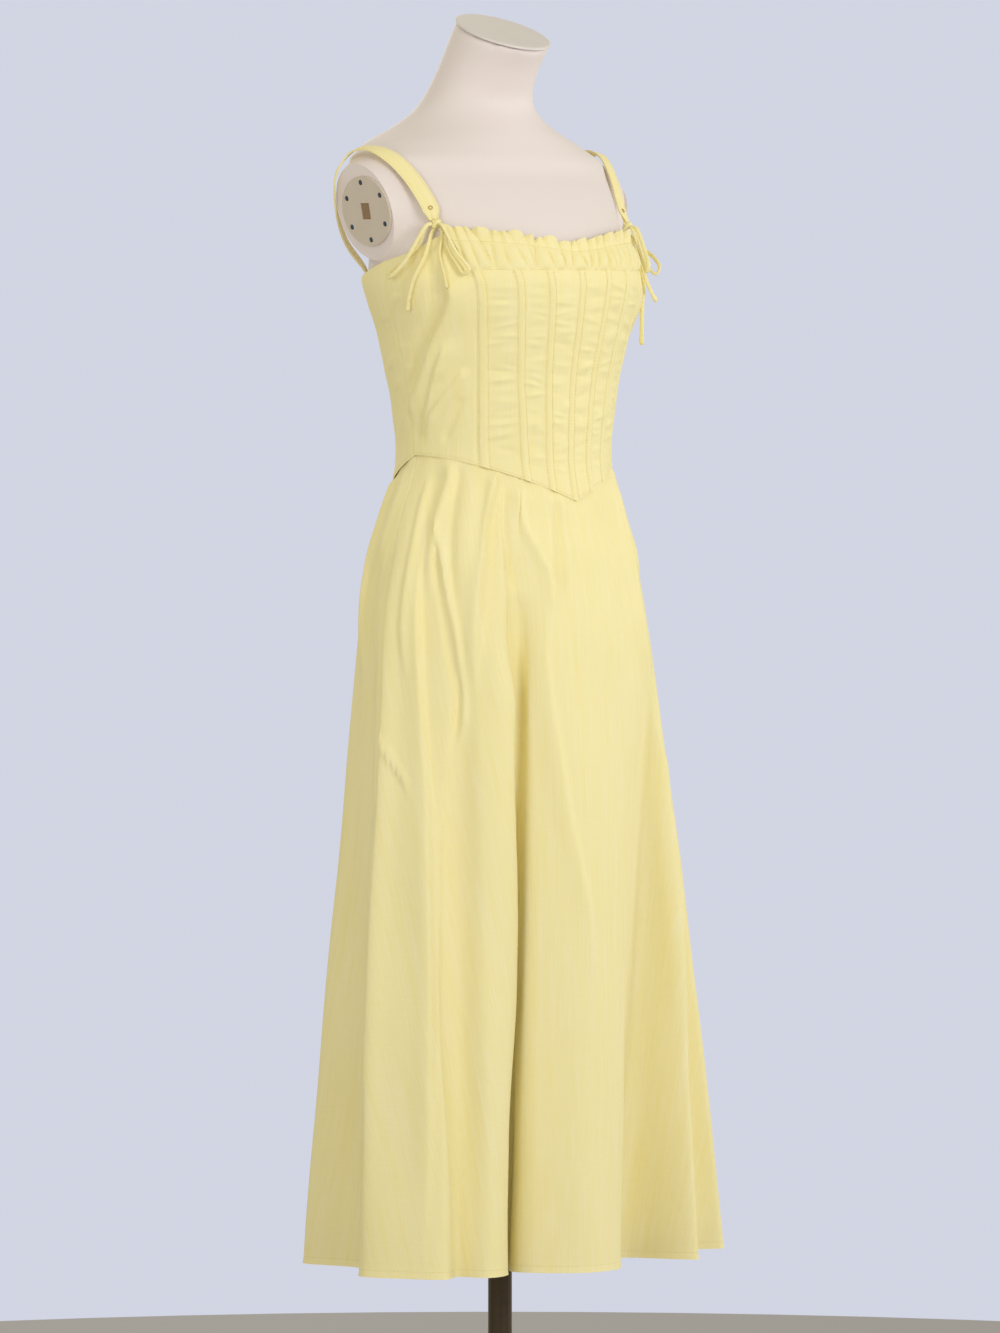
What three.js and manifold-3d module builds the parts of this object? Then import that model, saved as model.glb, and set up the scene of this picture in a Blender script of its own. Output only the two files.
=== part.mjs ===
// A sleeveless corset-bodice midi dress on a limbless dress form with its pole and base.
// Millimetres, +Z up, +X the wearer's left, -Y the front. The origin is the centre of the
// base's underside, on the floor, and the pole stands on the Z axis.
import * as THREE from 'three';
import { mergeVertices } from 'three/addons/utils/BufferGeometryUtils.js';
import Module from 'manifold-3d';

const wasm = await Module();
wasm.setup();

// ---------------------------------------------------------------- driving dimensions
const WALL = 1.5;            // thickness of each cloth panel
const SEAM = 0.3;            // gap between neighbouring pieces
const HEM_Z = 264;           // height of the skirt's hem
const POINT_Z = 1058;        // the bodice's centre-front point
const SIDE_PEAK_Z = 1105;    // the bodice's hem at the side seams
const BACK_DROP = 45;        // how far the bodice's hem falls again to the centre back
const CORSET_TOP_Z = 1296;   // top of the corset panel, where the frill starts
const SIDE_SEAM = 92;        // turn of the side seams from the centre front, degrees
const SKIRT_TUCK = 9;        // how far the skirt's top runs up inside the bodice
const TUCK_GAP = 0.7;        // room between the bodice's wall and the skirt tucked inside it
const WAIST_Z = 1060;        // where the skirt starts to widen and turn towards its hem
const PLEAT = { z: 1035, reach: 60 };              // where the waist is drawn in, and how far up and down
const TUCK_BLEND = 18;       // height over which the skirt comes out from under the bodice
const PANEL_HALF = 119;      // half-width over which the bodice's hem rises from its point
const CHANNEL = { width: 7, rise: 1.3 };
const FRILL = { half: 119, flare: 7, gathers: 15, wave: 3.2, low: 1326, rise: 17, stand: 42 };
const STRAP = { width: 17.5, thick: 2 };
const TIE = { diameter: 4.4, knot: 5 };
// The arm stumps: rounded bodies joined to the torso and cut flat where the arm plates lie.
const STUMPS = [
  { x: 112, y: 27.5, z: 1361, wide: 90, deep: 51, high: 62, lean: 18 },
  { x: 112, y: 36, z: 1338, wide: 58, deep: 32, high: 32, lean: 0 },
];
const PLATE = { x: 163, y: 22, z: 1357, radius: 36.6, thick: 3, forward: 0, down: 11.5 };
const PLATE_HOLES = { count: 6, radius: 3, reach: 30, deep: 1, start: 3 };
const PLATE_SLOT = { tall: 17, wide: 13, deep: 1.5 };
const POLE = { radius: 12.5, bottom: 12 };
const FLANGE = { radius: 34, deep: 8, neck: 4 };   // the pole's top plate, under the form
const BASE = { radius: 170, rim: 7, hub: 30, chamfer: 3, slope: 6 };

const CLOTH = { color: 0xf0e4ae, roughness: 0.85 };
const FORM = { color: 0xe4dbd4, roughness: 0.6 };
const PLATE_PLASTIC = { color: 0xc4b9ae, roughness: 0.5 };
const BRONZE = { color: 0x3c332a, roughness: 0.4, metalness: 0.7 };

// ---------------------------------------------------------------- tables and sampling
const table = (names, lines) => lines.map((line) =>
  Object.fromEntries(names.split(' ').map((name, i) => [name, line[i]])));
const rad = (degrees) => degrees * Math.PI / 180;
const clamp = (v, low = 0, high = 1) => Math.min(Math.max(v, low), high);
const lerp = (a, b, k) => a + (b - a) * k;
const smooth = (k) => { const c = clamp(k); return c * c * (3 - 2 * c); };

// A smooth curve through the rows' values of one column, over their key column.
function sample(rows, key, at, name) {
  const last = rows.length - 1;
  let i = 0;
  const rising = rows[last][key] > rows[0][key];
  while (i < last - 1 && (rising ? at > rows[i + 1][key] : at < rows[i + 1][key])) i += 1;
  const slope = (j) => {
    const a = rows[Math.max(j - 1, 0)];
    const b = rows[Math.min(j + 1, last)];
    return (b[name] - a[name]) / (b[key] - a[key]);
  };
  const width = rows[i + 1][key] - rows[i][key];
  const k = clamp((at - rows[i][key]) / width);
  return rows[i][name] * (1 + 2 * k) * (1 - k) ** 2 + rows[i + 1][name] * k * k * (3 - 2 * k)
    + width * (slope(i) * k * (1 - k) ** 2 - slope(i + 1) * k * k * (1 - k));
}

// The dress's outer surface, level by level.
const DRESS = table('z half front back square', [
  [1345, 142, 104, 113, 2.1],
  [1290, 155, 127, 120, 2.15],
  [1266, 152, 127, 112, 2.15],
  [1234, 141, 122, 106, 2.1],
  [1214, 136, 118, 103, 2.1],
  [1182, 129, 113, 99, 2.05],
  [1151, 123, 111, 95, 2.05],
  [1120, 119, 110, 95, 2],
  [1099, 119, 110, 95, 2],
  [1080, 122, 113, 97, 2],
  [1057, 132, 118, 103, 2],
  [1036, 140, 121, 109, 2],
  [1005, 150, 129, 118, 2],
  [974, 157, 134, 120, 2],
  [943, 163, 139, 121, 2],
  [911, 168, 143, 121, 2],
  [849, 176, 148, 121, 2],
  [786, 184, 153, 123, 2],
  [693, 196, 158, 125, 2],
  [599, 207, 161, 131, 2],
  [505, 218, 163, 136, 2],
  [411, 227, 165, 141, 2],
  [318, 236, 166, 147, 2],
  [264, 240, 167, 151, 2],
]);

// The dress form, level by level: mid is the widest point's Y, rise tilts a section back-up.
const FORM_ROWS = table('z half front back mid square rise', [
  [826, 138, 104, 100, 0, 2, 0],
  [860, 144, 110, 104, 0, 2, 0],
  [900, 147, 116, 107, 0, 2, 0],
  [950, 145, 118, 107, 0, 2, 0],
  [1000, 136, 115, 104, 0, 2, 0],
  [1050, 121, 109, 94, 0, 2, 0],
  [1090, 113, 104, 89, 0, 2, 0],
  [1130, 113, 104, 89, 0, 2, 0],
  [1175, 122, 106, 92, 0, 2.05, 0],
  [1220, 132, 113, 98, 0, 2.1, 0],
  [1262, 146, 121, 106, 0, 2.15, 0],
  [1290, 149, 121, 112, 0, 2.15, 0],
  [1315, 148, 113, 112, 6, 2.05, 0],
  [1335, 150, 103, 112, 14, 2, 0],
  [1357, 156, 90, 113, 20, 1.95, 0],
  [1380, 159, 73, 113, 30, 2, 0],
  [1398, 161, 58, 112, 38, 2, 0],
  [1411, 161, 54, 110, 44, 2, 0],
  [1421, 145, 48, 107, 52, 2, 0],
  [1430, 129, 43, 105, 56, 2, 0],
  [1439, 107, 38, 101, 57, 2, 0],
  [1450, 86, 31, 97, 53, 2, 1],
  [1461, 70, 25, 94, 45, 2, 2],
  [1473, 59, 22, 91, 36, 2, 4],
  [1487, 53, 25, 82, 28, 2, 7],
  [1503, 50, 31, 70, 20, 2, 11],
  [1520, 49, 38, 59, 10, 2, 15],
  [1542, 49, 53, 44, -5, 2, 19],
]);

const section = (rows, z) => {
  const found = {};
  for (const name of Object.keys(rows[0])) {
    if (name !== 'z') found[name] = sample(rows, 'z', z, name);
  }
  return found;
};

// The point of a section at a turn from the centre front, moved out along its normal.
function around(s, turn, out = 0) {
  const mid = s.mid ?? 0;
  const sin = Math.sin(turn);
  const cos = Math.cos(turn);
  const depth = cos > 0 ? s.front + mid : s.back - mid;
  const x = s.half * Math.sign(sin) * Math.abs(sin) ** (2 / s.square);
  const y = -depth * Math.sign(cos) * Math.abs(cos) ** (2 / s.square);
  const nx = Math.sign(x) * Math.abs(x / s.half) ** (s.square - 1) / s.half;
  const ny = Math.sign(y) * Math.abs(y / depth) ** (s.square - 1) / depth;
  const size = Math.hypot(nx, ny) || 1;
  return [x + out * nx / size, mid + y + out * ny / size];
}
const onDress = (turn, z, out) => [...around(section(DRESS, z), turn, out), z];

// The turn at which the dress's front reaches a given X.
function turnAt(x, z) {
  const s = section(DRESS, z);
  return Math.sign(x) * Math.asin(clamp(Math.abs(x) / s.half) ** (s.square / 2));
}

// ---------------------------------------------------------------- meshes from grids of points
function meshOf(name, look, geometry) {
  const mesh = new THREE.Mesh(geometry, new THREE.MeshStandardMaterial(look));
  mesh.name = name;
  return mesh;
}

function fromTriangles(points, triangles) {
  const geometry = new THREE.BufferGeometry();
  geometry.setAttribute('position', new THREE.Float32BufferAttribute(points.flat(), 3));
  geometry.setIndex(triangles.flat());
  return geometry;
}

// A closed wall: outer(i, j) and inner(i, j) are its two faces, i along the columns as seen from
// outside (to the wearer's left at the front) and j down the rows. The four edges are joined.
function wall(columns, rows, outer, inner) {
  const points = [];
  const triangles = [];
  for (const face of [outer, inner]) {
    for (let j = 0; j <= rows; j += 1) {
      for (let i = 0; i <= columns; i += 1) points.push(face(i, j));
    }
  }
  const sheet = (columns + 1) * (rows + 1);
  const at = (i, j, side) => side * sheet + j * (columns + 1) + i;
  const quad = (a, b, c, d) => triangles.push([a, b, c], [a, c, d]);
  for (let j = 0; j < rows; j += 1) {
    for (let i = 0; i < columns; i += 1) {
      quad(at(i, j, 0), at(i, j + 1, 0), at(i + 1, j + 1, 0), at(i + 1, j, 0));
      quad(at(i, j, 1), at(i + 1, j, 1), at(i + 1, j + 1, 1), at(i, j + 1, 1));
    }
    quad(at(0, j, 0), at(0, j, 1), at(0, j + 1, 1), at(0, j + 1, 0));
    quad(at(columns, j, 0), at(columns, j + 1, 0), at(columns, j + 1, 1), at(columns, j, 1));
  }
  for (let i = 0; i < columns; i += 1) {
    quad(at(i, 0, 0), at(i + 1, 0, 0), at(i + 1, 0, 1), at(i, 0, 1));
    quad(at(i, rows, 0), at(i, rows, 1), at(i + 1, rows, 1), at(i + 1, rows, 0));
  }
  return fromTriangles(points, triangles);
}

// A closed solid through a stack of rings with the same number of points, flat at both ends.
function stack(rings) {
  const count = rings[0].length;
  const points = rings.flat();
  const triangles = [];
  for (let j = 0; j < rings.length - 1; j += 1) {
    for (let i = 0; i < count; i += 1) {
      const a = j * count + i;
      const b = j * count + (i + 1) % count;
      triangles.push([a, b, b + count], [a, b + count, a + count]);
    }
  }
  const middle = (ring) => [0, 1, 2].map((k) => ring.reduce((sum, p) => sum + p[k], 0) / count);
  for (const [j, flip] of [[0, true], [rings.length - 1, false]]) {
    const centre = points.push(middle(rings[j])) - 1;
    for (let i = 0; i < count; i += 1) {
      const a = j * count + i;
      const b = j * count + (i + 1) % count;
      triangles.push(flip ? [centre, b, a] : [centre, a, b]);
    }
  }
  return fromTriangles(points, triangles);
}

// ---------------------------------------------------------------- joining and cutting solids
function toSolid(geometry) {
  const bare = geometry.clone();
  bare.deleteAttribute('normal');
  bare.deleteAttribute('uv');
  const merged = mergeVertices(bare, 1e-4);
  return new wasm.Manifold(new wasm.Mesh({
    numProp: 3,
    vertProperties: new Float32Array(merged.attributes.position.array),
    triVerts: new Uint32Array(merged.index.array),
  }));
}

function toGeometry(solid) {
  const found = solid.getMesh();
  const geometry = new THREE.BufferGeometry();
  geometry.setAttribute('position', new THREE.BufferAttribute(found.vertProperties, 3));
  geometry.setIndex(new THREE.BufferAttribute(found.triVerts, 1));
  return geometry;
}

// ---------------------------------------------------------------- bodice
// How far the channels and the panel's seam stand from the centre front, down the panel.
const CORSET = table('down inner middle outer seam', [
  [0, 41, 77, 114, 119.5],
  [0.5, 31, 62, 96, 101.5],
  [0.85, 27, 54, 89, 94.5],
  [1, 27, 53, 88, 93.5],
]);

// Soft drag folds of the side panels, from the tie down to the waist: each is a line over the
// panel from (turn, z) to (turn, z), with its half-width and its height out of the cloth.
const DRAG = { perDegree: 2.3, ends: 0.4, steer: 5 };   // mm a degree round, ends' fade, steering
const DRAG_FOLDS = table('turn0 z0 turn1 z1 width rise', [
  [56, 1290, 70, 1225, 8, 2.6],
  [60, 1275, 79, 1190, 9, -2.2],
  [58, 1225, 74, 1140, 9, 2.4],
  [66, 1185, 84, 1120, 8, -1.8],
  [55, 1180, 66, 1115, 8, 1.6],
  [71, 1318, 73, 1250, 6, -1.8],
  [84, 1270, 86, 1180, 10, 1.5],
]);

const hemOfBodice = (turn) => {
  const away = Math.abs(Math.sin(turn));
  return Math.cos(turn) > 0
    ? lerp(POINT_Z, SIDE_PEAK_Z, away)
    : SIDE_PEAK_Z + BACK_DROP * Math.cos(turn);
};

const TOP_EDGE = table('turn z', [
  [54, 1340], [66, 1328], [78, 1315], [92, 1306], [112, 1294], [140, 1288], [180, 1287],
]);

function dragRelief(turn, z, side) {
  const degrees = Math.abs(turn) * 180 / Math.PI;
  let rise = 0;
  for (const fold of DRAG_FOLDS) {
    const over = fold.turn1 - fold.turn0;
    const fall = fold.z1 - fold.z0;
    const along = clamp(((degrees - fold.turn0) * over * DRAG.steer + (z - fold.z0) * fall)
      / (over ** 2 * DRAG.steer + fall ** 2));
    const dx = (degrees - lerp(fold.turn0, fold.turn1, along)) * DRAG.perDegree;
    const dz = (z - lerp(fold.z0, fold.z1, along)) * DRAG.ends;
    rise += fold.rise * Math.exp(-((dx * dx + dz * dz) / (fold.width * fold.width)));
  }
  return rise * (side < 0 ? 1 : 0.8);   // the left side pulls a little less
}

// The point of the corset panel that stands x from the centre front, a share down of its height.
function corsetPoint(x, down, out) {
  const edge = lerp(POINT_Z, SIDE_PEAK_Z, Math.min(Math.abs(x) / PANEL_HALF, 1));
  const z = lerp(CORSET_TOP_Z, edge, down);
  return onDress(turnAt(x, z), z, out);
}

const CORSET_ROWS = 10;
const CHANNELS = [['outer', -1], ['middle', -1], ['inner', -1], [null, 1], ['inner', 1],
  ['middle', 1], ['outer', 1]];
const channelX = ([column, side], down) => (column ? side * sample(CORSET, 'down', down, column) : 0);

// The panel's columns run along both edges of each channel and midway between the channels.
function panelColumns(down) {
  const seam = sample(CORSET, 'down', down, 'seam');
  const xs = [-seam];
  CHANNELS.forEach((channel, i) => {
    const x = channelX(channel, down);
    if (i) xs.push((xs[xs.length - 1] + x - CHANNEL.width / 2) / 2);
    xs.push(x - CHANNEL.width / 2);
    if (x === 0) xs.push(x);     // the panel comes to a point at the centre front
    xs.push(x + CHANNEL.width / 2);
  });
  return [...xs, seam];
}

function frontPanel() {
  const columns = panelColumns(0).length - 1;
  const face = (out) => (i, j) => {
    const down = j / CORSET_ROWS;
    return corsetPoint(panelColumns(down)[i], down, out);
  };
  return wall(columns, CORSET_ROWS, face(0), face(-WALL));
}

// A boning channel lies on the panel's own points, moved out: a strip with rounded shoulders.
function boningChannel(channel) {
  const profile = table('share rise', [[0, 0.4], [0.25, 1], [0.75, 1], [1, 0.4]]);
  const place = (raised) => (i, j) => {
    const down = j / CORSET_ROWS;
    const x = channelX(channel, down);
    const [from, to] = [-0.5, 0.5].map((edge) =>
      corsetPoint(x + edge * CHANNEL.width, down, SEAM + raised * profile[i].rise * CHANNEL.rise));
    return from.map((v, k) => lerp(v, to[k], profile[i].share));
  };
  return wall(profile.length - 1, CORSET_ROWS, place(1), place(0));
}

// How far the corset panel's side seam stands from the centre front at a height.
function seamX(z) {
  let x = CORSET[0].seam;
  for (let pass = 0; pass < 4; pass += 1) {
    const edge = lerp(POINT_Z, SIDE_PEAK_Z, Math.min(x / PANEL_HALF, 1));
    x = sample(CORSET, 'down', clamp((CORSET_TOP_Z - z) / (CORSET_TOP_Z - edge)), 'seam');
  }
  return x + FRILL.flare * clamp((z - CORSET_TOP_Z) / FRILL.stand);
}

// Reach of the bodice at its side and back seams, by which a seam's gap is turned into an angle.
const DRESS_SIDE = 130;
const DRESS_BACK = 88;

// Side front panel: from the corset panel's seam round to the side seam.
function sideFront(side) {
  const columns = 12;
  const rows = 11;
  const face = (out) => (i, j) => {
    const share = side > 0 ? i / columns : 1 - i / columns;
    const down = j / rows;
    let turn = 0;
    let z = CORSET_TOP_Z;
    for (let pass = 0; pass < 4; pass += 1) {
      const start = turnAt(seamX(z) + 2 * SEAM, z);
      turn = lerp(start, rad(SIDE_SEAM) - SEAM / 2 / DRESS_SIDE, share);
      const top = sample(TOP_EDGE, 'turn', turn * 180 / Math.PI, 'z');
      z = lerp(top, hemOfBodice(turn), down);
    }
    const held = Math.sin(Math.PI * share) ** 0.5 * smooth((z - hemOfBodice(turn) - 10) / 25);
    return onDress(side * turn, z, out + held * dragRelief(turn, z, side));
  };
  return wall(columns, rows, face(0), face(-WALL));
}

// Back panel: from the side seam to the centre-back seam.
function backPanel(side) {
  const columns = 10;
  const rows = 8;
  const face = (out) => (i, j) => {
    const share = side > 0 ? i / columns : 1 - i / columns;
    const turn = lerp(rad(SIDE_SEAM) + SEAM / 2 / DRESS_SIDE, Math.PI - SEAM / 2 / DRESS_BACK, share);
    const top = sample(TOP_EDGE, 'turn', turn * 180 / Math.PI, 'z');
    const z = lerp(top, hemOfBodice(turn), j / rows);
    return onDress(side * turn, z, out);
  };
  return wall(columns, rows, face(0), face(-WALL));
}

// ---------------------------------------------------------------- frill along the neckline
const frillTop = (q) => FRILL.low + FRILL.rise * Math.sin(Math.PI / 2 * Math.abs(q)) ** 1.3;

function frill() {
  const perGather = 4;
  const columns = FRILL.gathers * perGather;
  const rows = 3;
  const face = (out) => (i, j) => {
    const q = 2 * i / columns - 1;
    const up = 1 - j / rows;
    const z = lerp(CORSET_TOP_Z + SEAM, frillTop(q), up);
    const x = q * (FRILL.half + FRILL.flare * up);
    // the waves open towards the free edge and differ a little in size
    const phase = 2 * Math.PI * i / perGather;
    const size = FRILL.wave * (0.35 + 0.65 * up) * (1 + 0.3 * Math.sin(2.3 * i / perGather));
    return onDress(turnAt(x, z), z, out + 1 + FRILL.wave * up + size * Math.sin(phase));
  };
  return wall(columns, rows, face(0), face(-WALL));
}

// ---------------------------------------------------------------- straps
// The strap's middle line from the tie's knot over the shoulder to the back, and the way its
// outer face looks there; leftX is used on the wearer's left, where the band turns forward more.
const STRAP_LINE = table('x y z outX outY outZ leftX', [
  [134.6, -47.9, 1347.2, 0.5, -0.8, 0.35, 0.42],
  [134.4, -41, 1361, 0.5, -0.78, 0.38, 0.36],
  [142, -21, 1391, 0.5, -0.62, 0.6, 0.4],
  [150.5, 1, 1411.8, 0.45, -0.35, 0.82, 0.4],
  [158, 25, 1421.5, 0.25, 0, 0.97, 0.25],
  [163, 48, 1417.5, 0.4, 0.4, 0.8, 0.4],
  [170, 64, 1395, 0.75, 0.55, 0.35, 0.75],
  [160, 76, 1360, 0.75, 0.65, 0, 0.75],
  [141, 81, 1325, 0.7, 0.72, 0, 0.7],
]);
// Its back end runs down inside the back panel's top.
const STRAP_END = table('turn z out', [
  [129, 1294, -4.5], [129, 1281, -4.7],
]).map(({ turn, z, out }) => {
  const [x, y] = onDress(rad(turn), z, out);
  const [farX, farY] = onDress(rad(turn), z, out + 1);
  return { x, y, z, outX: farX - x, outY: farY - y, outZ: 0, leftX: farX - x };
});
const STRAP_ROWS = [...STRAP_LINE, ...STRAP_END];

function strap(side) {
  const line = new THREE.CatmullRomCurve3(
    STRAP_ROWS.map((row) => new THREE.Vector3(side * row.x, row.y, row.z)));
  const facing = new THREE.CatmullRomCurve3(
    STRAP_ROWS.map((row) => new THREE.Vector3(
      side * (side > 0 ? row.leftX : row.outX), row.outY, row.outZ)));
  const steps = 30;
  const rings = [];
  for (let j = 0; j <= steps; j += 1) {
    const centre = line.getPoint(j / steps);
    const along = line.getTangent(j / steps);
    const out = facing.getPoint(j / steps);
    out.addScaledVector(along, -out.dot(along)).normalize();
    const across = new THREE.Vector3().crossVectors(along, out).normalize();
    const corner = (a, o) => centre.clone()
      .addScaledVector(across, a * STRAP.width / 2)
      .addScaledVector(out, o * STRAP.thick / 2).toArray();
    rings.push([corner(-1, -1), corner(-1, 1), corner(1, 1), corner(1, -1)]);
  }
  return stack(rings);
}

// ---------------------------------------------------------------- ties
// Where the ties lie, over the dress's surface: turn from the centre front in degrees, height,
// and how far out. A loop leaves the knot and comes back to it, a tail ends free.
const KNOT = [64, 1343, 5.6];
const TIE_ROUTES = {
  right: {
    loop_a: [[73, 1321, 4], [82, 1303, 4], [88, 1292, 5], [86, 1288, 9], [78, 1304, 10]],
    loop_b: [[58, 1318, 6], [54, 1301, 5], [51, 1291, 7], [49, 1296, 10], [54, 1314, 11]],
    tail_a: [[69, 1310, 5], [74, 1287, 5], [78, 1266, 5], [80, 1253, 5]],
    tail_b: [[62, 1312, 6], [60, 1292, 6], [59, 1276, 6]],
  },
  left: {
    loop_a: [[70, 1324, 15], [63, 1310, 23], [60, 1300, 24], [59, 1293, 18], [62, 1304, 12]],
    loop_b: [[57, 1318, 7.5], [52, 1303, 7], [49, 1295, 8], [48, 1301, 12], [53, 1317, 13]],
    tail_a: [[66, 1306, 5], [62, 1284, 5], [59, 1262, 6], [57, 1240, 12], [57, 1219, 17]],
    tail_b: [[60, 1306, 6], [57, 1288, 6], [56, 1276, 11], [57, 1264, 20]],
  },
};
// The way each strand leaves the knot: round the body, up, and out.
const LEAVES = {
  loop_a: [[1, -0.3, 0], [0.75, -0.1, 0.75]],
  loop_b: [[-0.9, -0.25, 0.35], [-0.75, -0.1, 0.75]],
  tail_a: [[0.5, -0.9, 0]],
  tail_b: [[-0.55, -0.85, 0]],
};

function tieStrand(side, piece, places) {
  const place = ([turn, z, out]) => new THREE.Vector3(...onDress(side * rad(turn), z, out));
  const knot = place(KNOT);
  const out = place([KNOT[0], KNOT[1], KNOT[2] + 1]).sub(knot);
  const up = new THREE.Vector3(0, 0, 1);
  const round = new THREE.Vector3().crossVectors(up, out).multiplyScalar(side);
  const leaving = (way, reach) => {
    const step = new THREE.Vector3().addScaledVector(round, way[0]).addScaledVector(up, way[1])
      .addScaledVector(out, way[2]);
    return knot.clone().addScaledVector(step.normalize(), reach);
  };
  const near = TIE.knot + SEAM + 0.1;
  const [first, back] = LEAVES[piece];
  const points = [leaving(first, near), leaving(first, near + 5), ...places.map(place)];
  if (back) points.push(leaving(back, near + 5), leaving(back, near));
  return new THREE.CatmullRomCurve3(points, false, 'centripetal');
}

function cordAlong(path, steps) {
  const ring = new THREE.Shape();
  const sides = 8;
  for (let i = 0; i < sides; i += 1) {
    const a = 2 * Math.PI * (i + 0.5) / sides;
    const at = [Math.cos(a) * TIE.diameter / 2, Math.sin(a) * TIE.diameter / 2];
    if (i) ring.lineTo(...at);
    else ring.moveTo(...at);
  }
  ring.closePath();
  return new THREE.ExtrudeGeometry(ring, { steps, extrudePath: path, bevelEnabled: false });
}

function tieKnot(side) {
  const geometry = new THREE.IcosahedronGeometry(TIE.knot, 1);
  geometry.translate(...onDress(side * rad(KNOT[0]), KNOT[1], KNOT[2]));
  return geometry;
}

// ---------------------------------------------------------------- skirt
// One row for each fold at the hem, going round from the centre back over the wearer's right.
// waist and hem are its turns from the centre front in degrees, x and y its place in plan at the
// hem, from the height at which it starts, grow how it grows below that, pleat how far the waist
// is drawn in there.
const FOLDS = table('waist hem x y from grow pleat', [
  [-180, -180, 0, 118, 900, 1, 2],
  [-163, -165, -60, 157, 960, 1, 0],
  [-147, -148, -98, 108, 900, 1, 3],
  [-128, -130, -175, 112, 940, 1, 0],
  [-112, -112, -163, 46, 960, 1, 2],
  [-100, -96, -180, 2, 1000, 0.9, 0],
  [-90, -78, -220, -30, 1030, 1, 0],
  [-79, -66, -201, -78, 960, 0.9, 2],
  [-70, -57, -177, -111, 1030, 1, 4],
  [-55, -47, -147, -99, 1000, 1, 0],
  [-46, -40, -130, -128, 960, 1, 5],
  [-38, -36, -95, -117, 940, 0.9, 0],
  [-31, -31, -66, -72, 960, 0.75, 1],
  [-29, -27.5, -52, -72, 960, 0.75, 2],
  [-24, -22, -72, -106, 960, 0.85, 0],
  [-14, -10, -36, -152, 960, 1, 4],
  [0, 3, 8, -158, 1000, 1, 0],
  [13, 11, 42, -140, 900, 1, 2],
  [24, 24, 74, -82, 860, 1.1, 3],
  [33, 34, 112, -74, 900, 1, 2],
  [42, 42, 152, -138, 1030, 1, 0],
  [53, 53, 174, -96, 980, 0.9, 3],
  [63, 66, 210, -56, 980, 0.9, 2],
  [74, 76, 254, -72, 1050, 0.8, 0],
  [90, 92, 242, -8, 1000, 1, 0],
  [104, 104, 200, 14, 940, 1, 3],
  [119, 117, 214, 72, 960, 1, 0],
  [134, 132, 150, 76, 920, 1, 3],
  [148, 147, 130, 138, 950, 1, 0],
  [163, 164, 58, 106, 920, 1, 2],
]);
const BETWEEN = 3;           // columns between one fold row and the next

const wrap = (i) => FOLDS[(i + FOLDS.length) % FOLDS.length];
const turnsAdded = (i) => 360 * Math.floor(i / FOLDS.length);

// A closed smooth curve through the fold rows' values, by the running row number.
function aroundFolds(s, value) {
  const i = Math.floor(s);
  const k = s - i;
  const [a, b, c, d] = [-1, 0, 1, 2].map((n) => value(wrap(i + n), turnsAdded(i + n)));
  const m0 = (c - a) / 2;
  const m1 = (d - b) / 2;
  return b * (1 + 2 * k) * (1 - k) ** 2 + c * k * k * (3 - 2 * k)
    + m0 * k * (1 - k) ** 2 - m1 * k * k * (1 - k);
}

const skirtTop = (turn) => hemOfBodice(turn) + SKIRT_TUCK;

function skirtMiddle(s, down) {
  const waistTurn = rad(aroundFolds(s, (f, t) => f.waist + t));
  const z = lerp(skirtTop(waistTurn), HEM_Z, down);
  const progress = clamp((WAIST_Z - z) / (WAIST_Z - HEM_Z));
  const hemTurn = rad(aroundFolds(s, (f, t) => f.hem + t));
  const turn = lerp(waistTurn, hemTurn, smooth(progress));
  const hemSection = section(DRESS, HEM_Z);
  const moved = [0, 1].map((axis) => aroundFolds(s, (f) => {
    const grown = clamp((f.from - z) / (f.from - HEM_Z)) ** f.grow;
    return grown * ([f.x, f.y][axis] - around(hemSection, rad(f.hem))[axis]);
  }));
  const drawn = Math.exp(-(((z - PLEAT.z) / PLEAT.reach) ** 2));
  const pleat = aroundFolds(s, (f) => f.pleat) * drawn;
  // the top of the skirt is held inside the bodice's edge
  const tucked = 1 - smooth((hemOfBodice(waistTurn) - z - 2) / TUCK_BLEND);
  const inward = WALL / 2 + pleat * (1 - tucked) + (WALL + TUCK_GAP) * tucked;
  const [x, y] = around(section(DRESS, z), turn, -inward);
  return [x + moved[0], y + moved[1], z];
}

function skirtHalf(first, last) {
  const columns = (last - first) * BETWEEN;
  const levels = [0, 0.014, 0.035, 0.07, 0.12, 0.18, 0.25, 0.33, 0.43, 0.55, 0.68, 0.83, 1];
  const cut = 0.16;
  const side = (out) => (i, j) => {
    let s = first + i / BETWEEN;
    const step = 0.02;
    const before = skirtMiddle(s - step, levels[j]);
    const after = skirtMiddle(s + step, levels[j]);
    const size = Math.hypot(after[0] - before[0], after[1] - before[1]);
    if (i === 0) s += cut * 2 * step / size;
    if (i === columns) s -= cut * 2 * step / size;
    const point = skirtMiddle(s, levels[j]);
    const nx = (after[1] - before[1]) / size;
    const ny = -(after[0] - before[0]) / size;
    return [point[0] + out * nx, point[1] + out * ny, point[2]];
  };
  return wall(columns, levels.length - 1, side(WALL / 2), side(-WALL / 2));
}

// ---------------------------------------------------------------- dress form, pole and base
const PLATE_NORMAL = new THREE.Vector3(
  Math.cos(rad(PLATE.forward)) * Math.cos(rad(PLATE.down)),
  -Math.sin(rad(PLATE.forward)),
  -Math.sin(rad(PLATE.down)) * Math.cos(rad(PLATE.forward))).normalize();

function plateFrame(side, out) {
  const normal = PLATE_NORMAL.clone();
  normal.x *= side;
  const place = new THREE.Vector3(side * PLATE.x, PLATE.y, PLATE.z).addScaledVector(normal, out);
  const turn = new THREE.Quaternion().setFromUnitVectors(new THREE.Vector3(0, 0, 1), normal);
  return new THREE.Matrix4().compose(place, turn, new THREE.Vector3(1, 1, 1));
}

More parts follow.
